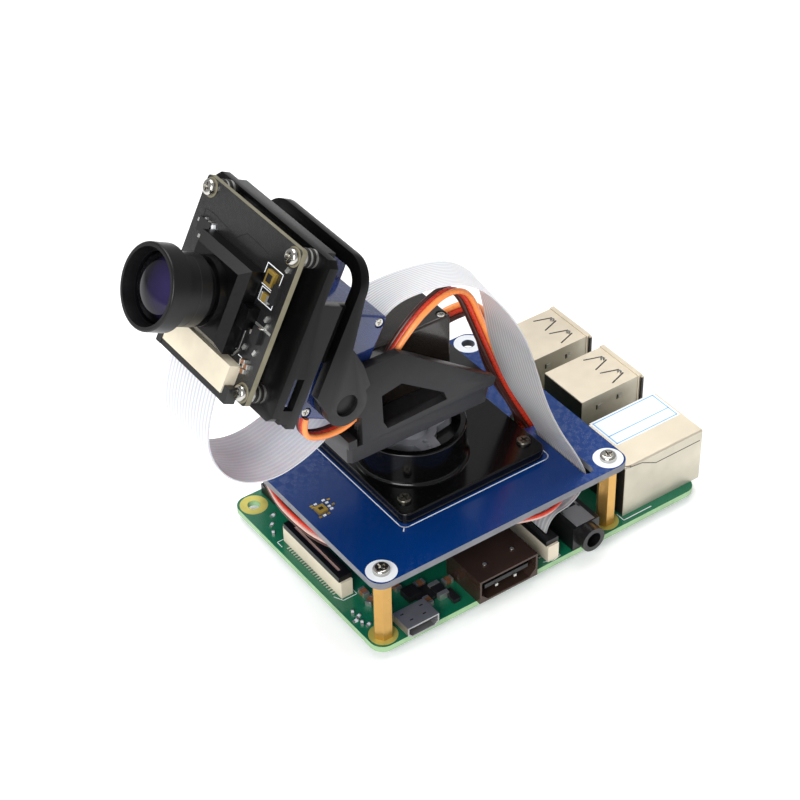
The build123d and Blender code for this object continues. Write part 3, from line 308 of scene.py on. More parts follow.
def board_surface(name, base, line, rough, contrast=0.5, coat=0.4):
    """Solder resist with the faint relief of the tracks under it."""
    material, tree, shader = new_material(name)
    track = track_value(tree)
    tint = mixed(tree, spread(tree, track, 0.0, contrast), base, line)
    cloud = ramp(tree, noise(tree, 0.05), shaded(WHITE, 0.7), WHITE)
    tree.links.new(mixed(tree, 0.35, tint, cloud, "MULTIPLY"), shader.inputs["Base Color"])
    worn(tree, shader, rough, 0.6)
    bumped(tree, shader, track, 0.02, 0.5)
    set_sockets(shader, {"Coat_Weight": coat, "Coat_Roughness": 0.12})
    return material


def stripe_value(tree):
    """1 on the conductors of the flat ribbon and 0 between them."""
    place = coordinate(tree, "Y", "along")
    scaled = sums(tree, "MULTIPLY_ADD", place, 1 / CONDUCTOR_PITCH, CONDUCTOR_OFFSET)
    wrapped = sums(tree, "PINGPONG", scaled, 0.5)
    low, high = HALF_GAP - CONDUCTOR_BLUR, HALF_GAP + CONDUCTOR_BLUR
    return ramp(tree, wrapped, BLACK, WHITE, low, high)


def ribbon_film(name, film, conductor, rough, painted_shade_from=None):
    """White polyester film with the flat conductors showing through as stripes.

    From a place in mm along it, where it is turned out of the light, it is painted greyer: painted shade.
    """
    material, tree, shader = new_material(name)
    stripes = stripe_value(tree)
    cloud = ramp(tree, noise(tree, 0.15), (0.86, 0.88, 0.92, 1), WHITE)
    tint = mixed(tree, 0.25, mixed(tree, stripes, film, conductor), cloud, "MULTIPLY")
    if painted_shade_from:
        # Painted shade: the film is multiplied towards grey along its length from that place
        run = coordinate(tree, "X", "along")
        painted_shade_share = spread(tree, run, 0.0, 1.0, painted_shade_from, painted_shade_from + PAINTED_SHADE_FADE)
        tint = mixed(tree, painted_shade_share, tint, PAINTED_SHADE_GREY, "MULTIPLY")
    tree.links.new(tint, shader.inputs["Base Color"])
    worn(tree, shader, rough, 2.0)
    bumped(tree, shader, stripes, 0.03, 0.6)
    set_sockets(shader, {"Subsurface_Weight": 0.25, "Subsurface_Scale": 0.8 * MM})
    return material


def clear_plastic(name, base, rough, through):
    """Tinted, half clear moulded plastic."""
    material, tree, shader = new_material(name)
    tint = ramp(tree, noise(tree, 0.12), shaded(base, 0.75), shaded(base, 1.25))
    tree.links.new(tint, shader.inputs["Base Color"])
    worn(tree, shader, rough, 1.2, 0.7, 1.4)
    bumped(tree, shader, noise(tree, 1.0, 2.0), 0.01)
    set_sockets(shader, {"Transmission_Weight": through, "Coat_Weight": 0.5, "Coat_Roughness": 0.08})
    return material


def lens_coating(name):
    """Coated glass: dark, with a painted violet reflection where the dome faces the eye and painted violet
    patches.
    """
    material, tree, shader = new_material(name)
    slope = tree.nodes.new("ShaderNodeLayerWeight")
    slope.inputs["Blend"].default_value = 0.35
    # Painted reflection: violet where the dome faces the eye, near black towards its edge
    painted_reflection = ramp(tree, slope.outputs["Facing"], colour(50, 42, 86), colour(4, 4, 6), 0.04, 0.34)
    # Painted reflection: violet patches over the dark glass
    spots = ramp(tree, noise(tree, 0.16), colour(3, 3, 5), colour(40, 34, 66), 0.5, 0.72)
    tree.links.new(mixed(tree, 0.3, painted_reflection, spots), shader.inputs["Base Color"])
    smear = spread(tree, noise(tree, 1.0), 0.02, 0.05)
    tree.links.new(smear, shader.inputs["Roughness"])
    coat = {"Coat_Weight": 0.12, "Coat_Roughness": 0.02, "Coat_Tint": colour(222, 214, 255)}
    set_sockets(shader, {"Specular_IOR_Level": 0.2, **coat})
    return material


def height_shaded(name, low, high, rough, z_low, z_high):
    """Moulded plastic with painted shade: it gets darker and duller with height, between two heights in mm."""
    material, tree, shader = new_material(name)
    # Painted shade: the colour darkens from low to high and the specular weakens as the height rises
    painted_shade_rise = spread(tree, coordinate(tree, "Z"), 0.0, 1.0, z_low * MM, z_high * MM)
    spots = ramp(tree, noise(tree, 0.4), shaded(WHITE, 0.6), WHITE)
    tint = mixed(tree, 0.4, mixed(tree, painted_shade_rise, low, high), spots, "MULTIPLY")
    tree.links.new(tint, shader.inputs["Base Color"])
    worn(tree, shader, rough, 2.0, 0.85, 1.15)
    tree.links.new(spread(tree, painted_shade_rise, 0.42, 0.16), shader.inputs["Specular IOR Level"])
    bumped(tree, shader, noise(tree, 6.0, 2.0), 0.008)
    return material


def metal(name, base, rough, share, vary=0.12, patch=0.25, height=0.0):
    """A surface that is metallic in part, and smooth unless it has a bump height."""
    return surface(name, base, rough, share, vary=vary, patch=patch, height=height)


def boards():
    """Solder resist, cut edges and print."""
    return {
        "green": board_surface("green_resist", colour(4, 98, 68), colour(34, 132, 98), 0.3),
        "green_edge": surface("green_edge", colour(150, 186, 140), 0.5),
        "blue": board_surface("blue_resist", colour(0, 50, 116), colour(0, 58, 128), 0.16, 0.12, 0.15),
        "blue_edge": surface("blue_edge", colour(112, 114, 120), 0.55),
        "black_resist": board_surface("black_resist", colour(14, 14, 15), colour(34, 34, 36), 0.3, 0.7),
        "black_edge": surface("black_resist_edge", colour(118, 113, 92), 0.5),
        "white_ink": surface("white_ink", colour(234, 238, 242), 0.55, vary=0.03, height=0.0),
        "label": surface("blank_label", colour(236, 240, 244), 0.45, vary=0.02, height=0.0),
        "label_blue": surface("label_blue", colour(110, 172, 222), 0.45, vary=0.04, height=0.0),
    }


def plastics():
    """Moulded parts, the lens's black metal and the coated glass."""
    dull, rim = {"Specular_IOR_Level": 0.25}, {"Specular_IOR_Level": 0.3}
    return {
        # The bracket and the head get painted shade, darker and duller higher up, between the heights given in mm
        "bracket": height_shaded("bracket_plastic", colour(36, 36, 38), colour(18, 18, 19), 0.4, 40, 66),
        "head": height_shaded("head_plastic_painted_shade", colour(33, 33, 35), colour(8, 8, 8), 0.32, 48, 72),
        "base": surface("base_plastic", colour(7, 7, 8), 0.16, height=0.002, Specular_IOR_Level=0.35),
        "dark_servo": clear_plastic("dark_servo_plastic", colour(40, 35, 31), 0.2, 0.1),
        "blue_servo": clear_plastic("blue_servo_plastic", colour(44, 66, 132), 0.1, 0.45),
        "horn": surface("horn_plastic", colour(150, 151, 158), 0.3, height=0.004),
        "cream": surface("cream_plastic", colour(218, 208, 186), 0.45, vary=0.04, height=0.0),
        "black": surface("black_plastic", colour(13, 13, 14), 0.35, height=0.004),
        "chip": surface("chip_plastic", colour(20, 20, 22), 0.5, height=0.006),
        "capacitor": surface("capacitor_brown", colour(128, 84, 56), 0.35, vary=0.15, height=0.0),
        "slot_dark": surface("slot_dark", colour(22, 20, 18), 0.5, vary=0.1, height=0.0),
        "lens_black": surface("anodised_black", colour(4, 4, 5), 0.3, vary=0.1, height=0.0, **dull),
        "lens_rim": surface("lens_rim", colour(14, 14, 15), 0.34, vary=0.1, height=0.0, **rim),
        "glass": lens_coating("lens_coating"),
    }


def metals():
    """Port shells, brass, gold, screws and solder."""
    return {
        "shell": metal("port_steel", colour(238, 226, 204), 0.34, 0.8, 0.04, 0.08),
        # The sides of the port shells: a darker, duller copy of port_steel, painted shade
        "shell_side_painted_shade": metal("port_steel_side_painted_shade", colour(200, 194, 178), 0.5, 0.6, 0.12, 0.08),
        "dark_shell": metal("hdmi_steel", colour(66, 50, 42), 0.2, 0.45, 0.12, 0.1),
        "grey_shell": metal("microusb_steel", colour(170, 170, 172), 0.36, 0.8, 0.05),
        "brass": metal("brass", colour(206, 162, 92), 0.3, 0.85, 0.05),
        "gold": metal("gold_plate", colour(206, 172, 84), 0.32, 0.75, 0.1),
        "olive": metal("pad_olive", colour(196, 186, 96), 0.4, 0.35, 0.1),
        "steel": metal("screw_steel", colour(190, 188, 182), 0.18, 1.0, 0.08),
        "steel_dark": metal("sunk_screw_steel", colour(104, 100, 92), 0.28, 0.95),
        "spline": metal("spline_metal", colour(140, 138, 132), 0.35, 0.9),
        "solder": metal("solder", colour(206, 206, 202), 0.3, 0.85, height=0.01),
    }


def wires_and_film():
    """Insulation of the wires and the films of the ribbon."""
    return {
        "wire_pale": surface("wire_pale", colour(206, 170, 158), 0.35, vary=0.1, height=0.0),
        "wire_brown": surface("wire_brown", colour(70, 36, 30), 0.3, vary=0.15, height=0.004),
        "wire_red": surface("wire_red", colour(196, 54, 32), 0.28, vary=0.1, height=0.0),
        "wire_orange": surface("wire_orange", colour(250, 148, 78), 0.28, vary=0.08, height=0.0),
        "film_plain": ribbon_film("ribbon_outer", colour(226, 229, 234), colour(216, 219, 226), 0.4),
        "film_striped": ribbon_film("ribbon_inner", colour(228, 230, 234), colour(198, 200, 205), 0.38),
        # The tail's film is painted greyer from 38 mm along it: painted shade where it turns out of the light
        "film_tail_painted_shade": ribbon_film("ribbon_tail_film_painted_shade", colour(236, 237, 239), colour(200, 202, 205), 0.38, 38),
    }


FINISH = {**boards(), **plastics(), **metals(), **wires_and_film()}

NODE_FINISH = {
    "main_board": "green", "upper_board": "blue", "camera_board": "black_resist",
    "header_base": "black", "header_socket": "black", "header_pins": "gold",
    "ethernet_port": "shell", "usb_shells": "shell", "usb_tongues": "cream",
    "hdmi_shell": "dark_shell", "hdmi_tongue": "black", "microusb_port": "grey_shell",
    "audio_jack": "black", "ribbon_ports": "cream", "camera_port_latch": "black",
    "display_port_latch": "black", "board_chips": "chip", "standoffs": "brass",
    "board_screws": "steel", "light_sensor": "gold", "servo_plugs": "black",
    "base_plate": "base", "base_screws": "steel_dark", "base_nuts": "steel", "pan_horn": "horn",
    "pan_horn_screw": "steel", "horn_tie_screws": "steel", "pan_output_shaft": "spline",
    "bracket_near": "bracket", "bracket_far": "bracket", "pan_servo_gearcase": "dark_servo",
    "pan_servo_case": "dark_servo", "pan_servo_cap": "dark_servo", "pan_servo_screws": "steel",
    "tilt_horn": "horn", "tilt_horn_screw": "steel", "tilt_output_shaft": "spline",
    "head_frame": "head", "tilt_servo_gearcase": "blue_servo", "tilt_servo_case": "blue_servo",
    "tilt_servo_cap": "blue_servo", "tilt_servo_screws": "steel", "servo_mount_screws": "steel",
    "camera_screws": "steel", "camera_spacers": "solder", "camera_connector": "cream",
    "camera_latch": "black", "camera_chips": "chip", "lens_holder": "lens_black",
    "lens_barrel": "lens_rim", "lens_glass": "glass",
}
# Side finishes: the boards' cut edges, and for the port shells a darker copy of their steel, painted shade on
# their sides
SIDE_FINISH = {
    "main_board": "green_edge", "upper_board": "blue_edge", "camera_board": "black_edge",
    "ethernet_port": "shell_side_painted_shade", "usb_shells": "shell_side_painted_shade",
}
BODY_OF = {n: b for b, ns in frame["record"]["behaviour"]["bodies"].items() for n in ns}


def dress_nodes():
    """Give every CAD node its material, and the sides of boards and ports their own: cut edges on the boards, and
    on the port shells a darker steel as painted shade.
    """
    head_axis = (HEAD_FRAME.to_3x3() @ Vector((1, 0, 0))).normalized()
    for node, finish in NODE_FINISH.items():
        mesh = frame["nodes"][node].data
        mesh.materials.clear()
        mesh.materials.append(FINISH[finish])
        if node in SIDE_FINISH:
            mesh.materials.append(FINISH[SIDE_FINISH[node]])
            axis = head_axis if node == "camera_board" else Vector((0, 0, 1))
            for face in mesh.polygons:
                face.material_index = int(abs(face.normal.dot(axis)) < 0.5)


# ------------------------------------------------------------------ mesh building
def smooth(mesh, angle):
    """Smooth shading with the edges above some degrees kept sharp."""
    mesh.shade_smooth()
    mesh.set_sharp_from_angle(angle=radians(angle))


def mesh_of(name, build):
    """The mesh of a finished build, which it uses up."""
    mesh = bpy.data.meshes.new(name)
    build.to_mesh(mesh)
    build.free()
    return mesh


def finished(name, mesh, body, *finishes):
    """An object for a finished mesh, with its materials, riding on a body if it has one."""
    piece = bpy.data.objects.new(name, mesh)
    bpy.context.scene.collection.objects.link(piece)
    for finish in finishes:
        mesh.materials.append(FINISH[finish])
    if body:
        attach(piece, body)
    return piece


def softened(node):
    """A copy of a CAD node whose edges are rounded, standing for it."""
    build = bmesh.new()
    build.from_mesh(frame["nodes"][node].data)
    bmesh.ops.remove_doubles(build, verts=build.verts, dist=SAME_PLACE)
    flat, corner = radians(FLAT_ANGLE), radians(CORNER_ANGLE)
    bmesh.ops.dissolve_limit(build, angle_limit=flat, verts=build.verts, edges=build.edges)
    sharp = [e for e in build.edges if len(e.link_faces) == 2 and e.calc_face_angle(0) > corner]
    bmesh.ops.bevel(
        build, geom=sharp, offset=EDGE_ROUNDING * MM, segments=2, profile=0.6, affect="EDGES",
        clamp_overlap=True,
    )
    mesh = mesh_of("soft_" + node, build)
    smooth(mesh, SHARP_SOLID)
    piece = finished("soft_" + node, mesh, BODY_OF[node], NODE_FINISH[node])
    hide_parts(node)


class Bits:
    """Many small solids in one mesh, drawn in mm in one frame, each with its own finish."""

    def __init__(self, name, body, matrix):
        self.name, self.body, self.matrix = name, body, matrix
        self.build, self.finishes = bmesh.new(), []

    def paint(self, faces, finish):
        """Give faces a finish."""
        if finish not in self.finishes:
            self.finishes.append(finish)
        for face in faces:
            face.material_index = self.finishes.index(finish)

    def block(self, place, size, finish):
        """A block of some size, centred on a place."""
        matrix = place @ Matrix.Diagonal((*size, 1))
        made = bmesh.ops.create_cube(self.build, size=1.0, matrix=matrix)
        self.paint({f for v in made["verts"] for f in v.link_faces}, finish)

    def box(self, x0, x1, y0, y1, z0, z1, finish, turn=0.0):
        """A block between two corners, turned about its own upright axis by some degrees."""
        place = Matrix.Translation(((x0 + x1) / 2, (y0 + y1) / 2, (z0 + z1) / 2))
        place = place @ Matrix.Rotation(radians(turn), 4, "Z")
        self.block(place, (x1 - x0, y1 - y0, z1 - z0), finish)

    def bead(self, x, y, half_x, half_y, z0, z1, finish, turn=0.0):
        """A block about a place, from its half sizes."""
        self.box(x - half_x, x + half_x, y - half_y, y + half_y, z0, z1, finish, turn)

    def ring(self, x, y, z0, z1, inner, outer, finish, sides=48):
        """A flat ring, upright."""
        turns = [2 * pi * i / sides for i in range(sides)]
        loops = [
            [self.build.verts.new((x + radius * cos(a), y + radius * sin(a), z)) for a in turns]
            for radius, z in ((inner, z0), (outer, z0), (outer, z1), (inner, z1))
        ]
        faces = []
        for a, b in zip(loops, loops[1:] + loops[:1]):
            for i in range(sides):
                j = (i + 1) % sides
                faces.append(self.build.faces.new((a[i], a[j], b[j], b[i])))
        self.paint(faces, finish)

    def line(self, points, width, z0, z1, finish):
        """Flat strokes from point to point, such as printed lines."""
        for (xa, ya), (xb, yb) in zip(points, points[1:]):
            run = Vector((xb - xa, yb - ya, 0))
            place = Matrix.Translation(((xa + xb) / 2, (ya + yb) / 2, (z0 + z1) / 2))
            place = place @ run.to_track_quat("X", "Z").to_matrix().to_4x4()
            self.block(place, (run.length + width, width, z1 - z0), finish)

    def chip_part(self, x, y, z, long, wide, high, body, turn=0.0):
        """A small resistor or capacitor: a body between two soldered ends."""
        end = long * END_SHARE
        along = Vector((cos(radians(turn)), sin(radians(turn)), 0))
        for side in (-1, 1):
            c = Vector((x, y, z)) + along * side * (long - end) / 2
            self.bead(c.x, c.y, end / 2, wide / 2, z, z + high, "solder", turn)
        self.bead(x, y, (long - 2 * end) / 2, wide / 2, z, z + high * BODY_SHARE, body, turn)

    def done(self, bevel):
        """The finished piece, with its edges rounded by some mm."""
        bmesh.ops.recalc_face_normals(self.build, faces=self.build.faces)
        mesh = mesh_of(self.name, self.build)
        mesh.transform(self.matrix)
        piece = finished(self.name, mesh, self.body, *self.finishes)
        if bevel:
            soften = piece.modifiers.new("soften", "BEVEL")
            soften.width, soften.segments, soften.limit_method = bevel * MM, 2, "ANGLE"
        smooth(mesh, SHARP_SOLID)


# ------------------------------------------------------------------ ribbon and leads
def nurbs(points):
    """The smooth line that a NURBS spline draws from its control points."""
    curve = bpy.data.curves.new("route", "CURVE")
    curve.dimensions = "3D"
    spline = curve.splines.new("NURBS")
    spline.points.add(len(points) - 1)
    for knot, point in zip(spline.points, points):
        knot.co = (*point, 1.0)
    spline.order_u = 3
    spline.use_endpoint_u = True
    spline.resolution_u = 12
    holder = bpy.data.objects.new("route", curve)
    line = [v.co.copy() for v in holder.to_mesh().vertices]
    holder.to_mesh_clear()
    bpy.data.objects.remove(holder)
    return line


def heading(line, i):
    """The way that a line runs at one of its points."""
    return (line[min(i + 1, len(line) - 1)] - line[max(i - 1, 0)]).normalized()


def route_lines(route, half):
    """The centre line of a flat cord and, for each of its points, the way across it."""
    centre = nurbs([Vector(place) for place, _ in route])
    side = nurbs([Vector(place) + Vector(across) * half for place, across in route])
    across = []
    for i, (c, s) in enumerate(zip(centre, side)):
        along, way = heading(centre, i), s - c
        across.append((way - along * way.dot(along)).normalized())
    return centre, across


def split_at(line, point):
    """The index of the line's point nearest to a place."""
    return min(range(len(line)), key=lambda i: (line[i] - Vector(point)).length)


def board_mesh(name, build):
    """The mesh of a build drawn in the board frame, smooth along its length."""
    bmesh.ops.recalc_face_normals(build, faces=build.faces)
    mesh = mesh_of(name, build)
    mesh.transform(BOARD_FRAME)
    smooth(mesh, SHARP_CORD)
    return mesh


def strip_rows(build, centre, across):
    """Rows of points across a thin strip, top sheet then bottom: vertex, mm along, mm across."""
    run, rows = 0.0, []
    for i, (c, way) in enumerate(zip(centre, across)):
        run += (c - centre[max(i - 1, 0)]).length
        normal = heading(centre, i).cross(way).normalized() * RIBBON_T / 2
        row = []
        for sheet in (1, -1):
            for k in range(RIBBON_STEPS + 1):
                v = RIBBON_W * (k / RIBBON_STEPS - 0.5)
                row.append((build.verts.new(c + way * v + normal * sheet), run, v))
        rows.append(row)
    return rows


def ribbon_strip(name, centre, across, *finishes):
    """A thin flat strip along the centre line, with a map of mm along and across it."""
    build = bmesh.new()
    chart = build.loops.layers.uv.new("along")
    rows = strip_rows(build, centre, across)
    last, under = RIBBON_STEPS, RIBBON_STEPS + 1

    def face(corners, index=0):
        made = build.faces.new([corner[0] for corner in corners])
        made.material_index = index
        for loop, corner in zip(made.loops, corners):
            loop[chart].uv = (corner[1], corner[2])

    for a, b in zip(rows, rows[1:]):
        for k in range(last):
            face((a[k], a[k + 1], b[k + 1], b[k]))
            face((a[under + k + 1], a[under + k], b[under + k], b[under + k + 1]), 1)
        face((a[under], a[0], b[0], b[under]))
        face((a[last], a[under + last], b[under + last], b[last]))
    for row in (rows[0], rows[-1]):
        for k in range(last):
            face((row[k], row[k + 1], row[under + k + 1], row[under + k]))
    piece = finished(name, board_mesh(name, build), None, *finishes)
    return piece


def tube(build, line, ways, normals, radius, sides):
    """A round closed tube along a line, from two ways across it at each point. Gives its faces."""
    turns = [2 * pi * k / sides for k in range(sides)]
    rings = [
        [build.verts.new(c + (way * cos(a) + normal * sin(a)) * radius) for a in turns]
        for c, way, normal in zip(line, ways, normals)
    ]
    faces = [build.faces.new(rings[0]), build.faces.new(rings[-1])]
    for a, b in zip(rings, rings[1:]):
        for k in range(sides):
            j = (k + 1) % sides
            faces.append(build.faces.new((a[k], a[j], b[j], b[k])))
    return faces


def lead_strip(name, centre, across):
    """Three round insulated wires side by side, moulded together."""
    build = bmesh.new()
    normals = [heading(centre, i).cross(way).normalized() for i, way in enumerate(across)]
    for wire in (-1, 0, 1):
        line = [c + way * wire * WIRE_PITCH for c, way in zip(centre, across)]
        for face in tube(build, line, across, normals, WIRE_R, WIRE_SIDES):
            face.material_index = wire + 1
    mesh = board_mesh(name, build)
    piece = finished(name, mesh, None, "wire_brown", "wire_red", "wire_orange")
    return piece


def make_ribbon():
    """The ribbon's loop under the head, and its tail."""
    centre, across = route_lines(RIBBON_ROUTE, RIBBON_W / 2)
    cut = split_at(centre, RIBBON_SPLIT)
    near, far = slice(cut + 1), slice(cut, None)
    loop = ribbon_strip("ribbon_loop", centre[near], across[near], "film_striped", "film_plain")
    tail = ribbon_strip("ribbon_tail", centre[far], across[far], "film_tail_painted_shade", "film_tail_painted_shade")
    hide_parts("ribbon_cable")
    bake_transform(loop)
    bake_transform(tail)


def make_leads():
    """The tilt servo's lead in two pieces, and the pan servo's lead in one."""
    half = WIRE_PITCH + WIRE_R
    centre, across = route_lines(TILT_LEAD_ROUTE, half)
    cut = split_at(centre, TILT_LEAD_SPLIT)
    start = lead_strip("tilt_lead_start", centre[: cut + 1], across[: cut + 1])
    rest = lead_strip("tilt_lead_run", centre[cut:], across[cut:])
    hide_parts("tilt_servo_lead")
    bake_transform(start)
    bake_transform(rest)
    centre, across = route_lines(PAN_LEAD_ROUTE, half)
    lead = lead_strip("pan_lead", centre, across)
    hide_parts("pan_servo_lead")
    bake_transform(lead)


TUCKED_WIRES = (
    ("wire_red", (
        (-29.6, 18.0, 15.9), (-31.6, 12.0, 15.2), (-31.5, 4.0, 14.4), (-30.2, -3.0, 13.6),
        (-27.0, -9.0, 12.6),
    )),
    ("wire_pale", (
        (-29.6, 18.4, 15.0), (-31.7, 11.4, 14.2), (-31.6, 3.4, 13.4), (-30.2, -3.6, 12.6),
        (-27.0, -9.0, 11.8),
    )),
    ("wire_brown", (
        (-29.6, 18.8, 14.0), (-31.6, 11.0, 13.2), (-31.4, 3.0, 12.4), (-30.0, -4.0, 11.8),
        (-26.8, -9.0, 11.0),
    )),
    ("wire_red", (
        (2.0, -24.8, 15.9), (7.0, -27.0, 15.6), (12.0, -27.2, 15.4), (17.0, -25.6, 15.6),
        (20.0, -21.0, 15.9),
    )),
    ("wire_pale", (
        (1.0, -24.0, 14.9), (7.0, -26.4, 14.6), (12.0, -26.8, 14.4), (17.0, -25.0, 14.7),
        (20.0, -20.4, 15.0),
    )),
)


def tucked_wires():
    """Servo wires between the two boards, seen along the upper board's edges."""
    for index, (finish, points) in enumerate(TUCKED_WIRES):
        line = nurbs([Vector(p) for p in points])
        runs = [heading(line, i) for i in range(len(line))]
        sides = [along.cross(Vector((0, 0, 1))).normalized() for along in runs]
        ups = [side.cross(along) for side, along in zip(sides, runs)]
        build = bmesh.new()
        tube(build, line, sides, ups, TUCKED_R, TUCKED_SIDES)
        name = f"tucked_wire_{index}"
        finished(name, board_mesh(name, build), "root", finish)


# ------------------------------------------------------------------ camera, light and floor
def make_camera():
    """The photograph's viewpoint."""
    place, target = at(*CAMERA_AT), at(*CAMERA_TARGET)
    back = (place - target).normalized()
    right = Vector((0, 0, 1)).cross(back).normalized()
    up = back.cross(right)
    roll = radians(CAMERA_ROLL)
    x = right * cos(roll) + up * sin(roll)
    y = up * cos(roll) - right * sin(roll)
    data = bpy.data.cameras.new("camera")
    data.lens, data.sensor_width = CAMERA_LENS, SENSOR
    data.clip_start, data.clip_end = 0.01, 20.0
    camera = bpy.data.objects.new("camera", data)
    camera.matrix_world = Matrix.Translation(place) @ Matrix((x, y, back)).transposed().to_4x4()
    bpy.context.scene.collection.objects.link(camera)
    bpy.context.scene.camera = camera


def make_lamp(name, place, target, size, power):
    """A square lamp that faces its target."""
    data = bpy.data.lights.new(name, "AREA")
    data.shape, data.size, data.energy = "SQUARE", size, power
    lamp = bpy.data.objects.new(name, data)
    lamp.location = place
    lamp.rotation_mode = "QUATERNION"
    lamp.rotation_quaternion = (Vector(target) - Vector(place)).to_track_quat("-Z", "Y")
    bpy.context.scene.collection.objects.link(lamp)


def make_floor():
    """A white table that glows a little."""
    build = bmesh.new()
    bmesh.ops.create_grid(build, x_segments=1, y_segments=1, size=FLOOR_HALF)
    mesh = mesh_of("floor", build)
    floor = bpy.data.objects.new("floor", mesh)
    floor.location.z = CAD_BOX[0].z - FLOOR_GAP
    bpy.context.scene.collection.objects.link(floor)
    white = surface("floor_white", shaded(WHITE, 0.93), 0.8, vary=0.01, height=0.0)
    shader = white.node_tree.nodes["Principled BSDF"]
    set_sockets(shader, {"Emission_Color": WHITE, "Emission_Strength": FLOOR_GLOW})
    mesh.materials.append(white)


def make_studio():
    """A dim even room, two large soft lamps and the floor."""
    world = bpy.data.worlds.new("room")
    world.use_nodes = True
    room = world.node_tree.nodes["Background"]
    room.inputs["Color"].default_value = WHITE
    room.inputs["Strength"].default_value = ROOM_LIGHT
    bpy.context.scene.world = world
    bpy.context.scene.view_settings.view_transform = "Standard"
    for name, lamp in LAMPS.items():
        make_lamp(name, *lamp)
    make_floor()


# ------------------------------------------------------------------ details of the main board
PIN_ROW = [-8.9 + i * 0.82 for i in range(22)]
WHITE_PARTS = (
    (-30.6, -15.8, 60), (-30.2, -17.4, 20), (-30.7, -19.4, 60), (-29.9, -20.6, 20),
    (-31.4, -18.2, 0), (-27.6, 19.0, 10), (-29.4, 16.6, 30), (-30.6, 14.2, 60),
)
LARGE_PARTS = (
    (-14.9, -17.4, 0), (-16.4, -22.6, 90), (-25.9, -15.5, 30), (-25.6, -12.6, 90), (7.6, -19.4, 90),
    (-24.0, -18.4, 90), (-9.6, -20.0, 0), (-19.2, -15.2, 90), (-22.4, -13.6, 0),
)
BOARD_PRINT = (
    ((-29.9, 11.4), (-31.4, 11.4), (-31.4, 9.6)),
    ((-31.0, -9.6), (-30.0, -11.6), (-26.6, -11.6), (-26.6, -10.2)),
    ((10.4, -27.0), (12.6, -27.8), (14.6, -27.4), (14.6, -25.6)),
)


def main_board_details():
    """Pads, port pins, print and small parts on the green board."""
    bits = Bits("main_board_parts", "root", BOARD_FRAME)
    z = BOARD_TOP
    for x, y in BOARD_HOLES:
        bits.ring(x, y, z - 0.01, z + 0.04, 1.4, 3.1, "olive")
    for y in PIN_ROW:
        bits.bead(-30.4, y, 0.5, 0.14, z, z + 0.18, "solder")
        bits.bead(10.7, y - 16.6, 0.5, 0.14, z, z + 0.18, "solder")
    for points in BOARD_PRINT:
        bits.line(points, 0.16, z, z + INK, "white_ink")
    bits.line(((32.4, -24.6), (32.4, -26.9), (40.0, -26.9)), 0.2, z, z + INK, "white_ink")
    for x, y, turn in WHITE_PARTS:
        bits.chip_part(x, y, z, 1.3, 0.6, 0.45, "white_ink", turn)
    for x, y, turn in LARGE_PARTS:
        bits.chip_part(x, y, z, 2.3, 1.4, 1.2, "capacitor", turn)
    bits.chip_part(-12.9, -21.4, z, 4.4, 2.4, 1.5, "chip", 90)
    bits.box(-19.6, -16.4, -20.4, -17.2, z, z + 1.6, "chip")
    scattered_parts(bits)
    bits.done(0.04)


def scattered_parts(bits):
    """Small parts under the upper board, in a fixed pattern clear of the main chip."""
    for i in range(26):
        x, y = -24.0 + (i * 7.3) % 52.0, -14.0 + (i * 5.1) % 27.0
        body = "capacitor" if i % 3 else "chip"
        if not -14.5 < x < 1.5 or y < -6.0:
            bits.chip_part(x, y, BOARD_TOP, 1.1, 0.6, 0.5, body, 90 * (i % 2))


# ------------------------------------------------------------------ details of the ports
def usb_details(bits, y0):
    """Spring slots, dimples, side lugs and lips of one stacked USB socket."""
    top, side = USB_TOP, y0 - USB_HALF
    for dy in (-2.9, 2.9):
        y = y0 + dy
        for way in (-1, 1):
            slot = ((47.4, y + way * 2.1), (51.4, y + way * 0.75))
            bits.line(slot, 0.34, top - 0.02, top + 0.03, "slot_dark")
        bits.ring(51.0, y, top, top + 0.22, 0.02, 0.55, "steel", 24)
        bits.ring(51.0, y, top + 0.2, top + 0.4, 0.02, 0.3, "steel", 24)
    for x, z in ((42.5, 14.2), (48.3, 14.4), (42.5, 6.4), (48.3, 6.4)):
        bits.box(x - 0.5, x + 0.5, side - 0.25, side + 0.1, z - 0.45, z + 0.45, "solder")
        bits.box(x - 0.95, x - 0.6, side - 0.12, side + 0.1, z - 0.6, z + 0.6, "slot_dark")
    bits.box(53.9, 54.5, side - 0.7, side, BOARD_TOP + 0.6, top - 0.5, "slot_dark")
    bits.box(53.3, 54.4, side - 0.2, y0 + 6.7, BOARD_TOP + 0.4, top + 0.22, "shell")
    bits.box(37.44, 37.6, side, y0 + USB_HALF, BOARD_TOP, top - 0.3, "slot_dark")


def ethernet_details(bits):
    """The blank label, the folded seam and the dark back of the network socket."""
    z = ETHERNET_TOP
    bits.box(36.2, 54.2, -18.9, -9.7, z, z + 0.05, "label")
    outline = ((36.8, -18.4), (53.6, -18.4), (53.6, -10.3), (36.8, -10.3), (36.8, -18.4))
    for points in (outline, ((36.8, -15.6), (53.6, -15.6))):
        bits.line(points, 0.26, z + 0.03, z + 0.07, "label_blue")
    bits.line(((33.1, -25.0), (34.4, -25.72)), 0.2, z - 0.02, z + 0.03, "slot_dark")
    seam, steps = ((34.2, 14.6), (37.4, 14.2), (41.4, 12.2), (54.0, 12.2)), 10
    for (xa, za), (xb, zb) in zip(seam, seam[1:]):
        for k in range(steps):
            x, h = xa + (xb - xa) * k / steps, za + (zb - za) * k / steps
            bits.box(x, x + (xb - xa) / steps, -25.79, -25.7, h - 0.09, h + 0.09, "slot_dark")
    bits.box(32.96, 33.1, -25.6, -9.9, BOARD_TOP, z - 0.5, "slot_dark")


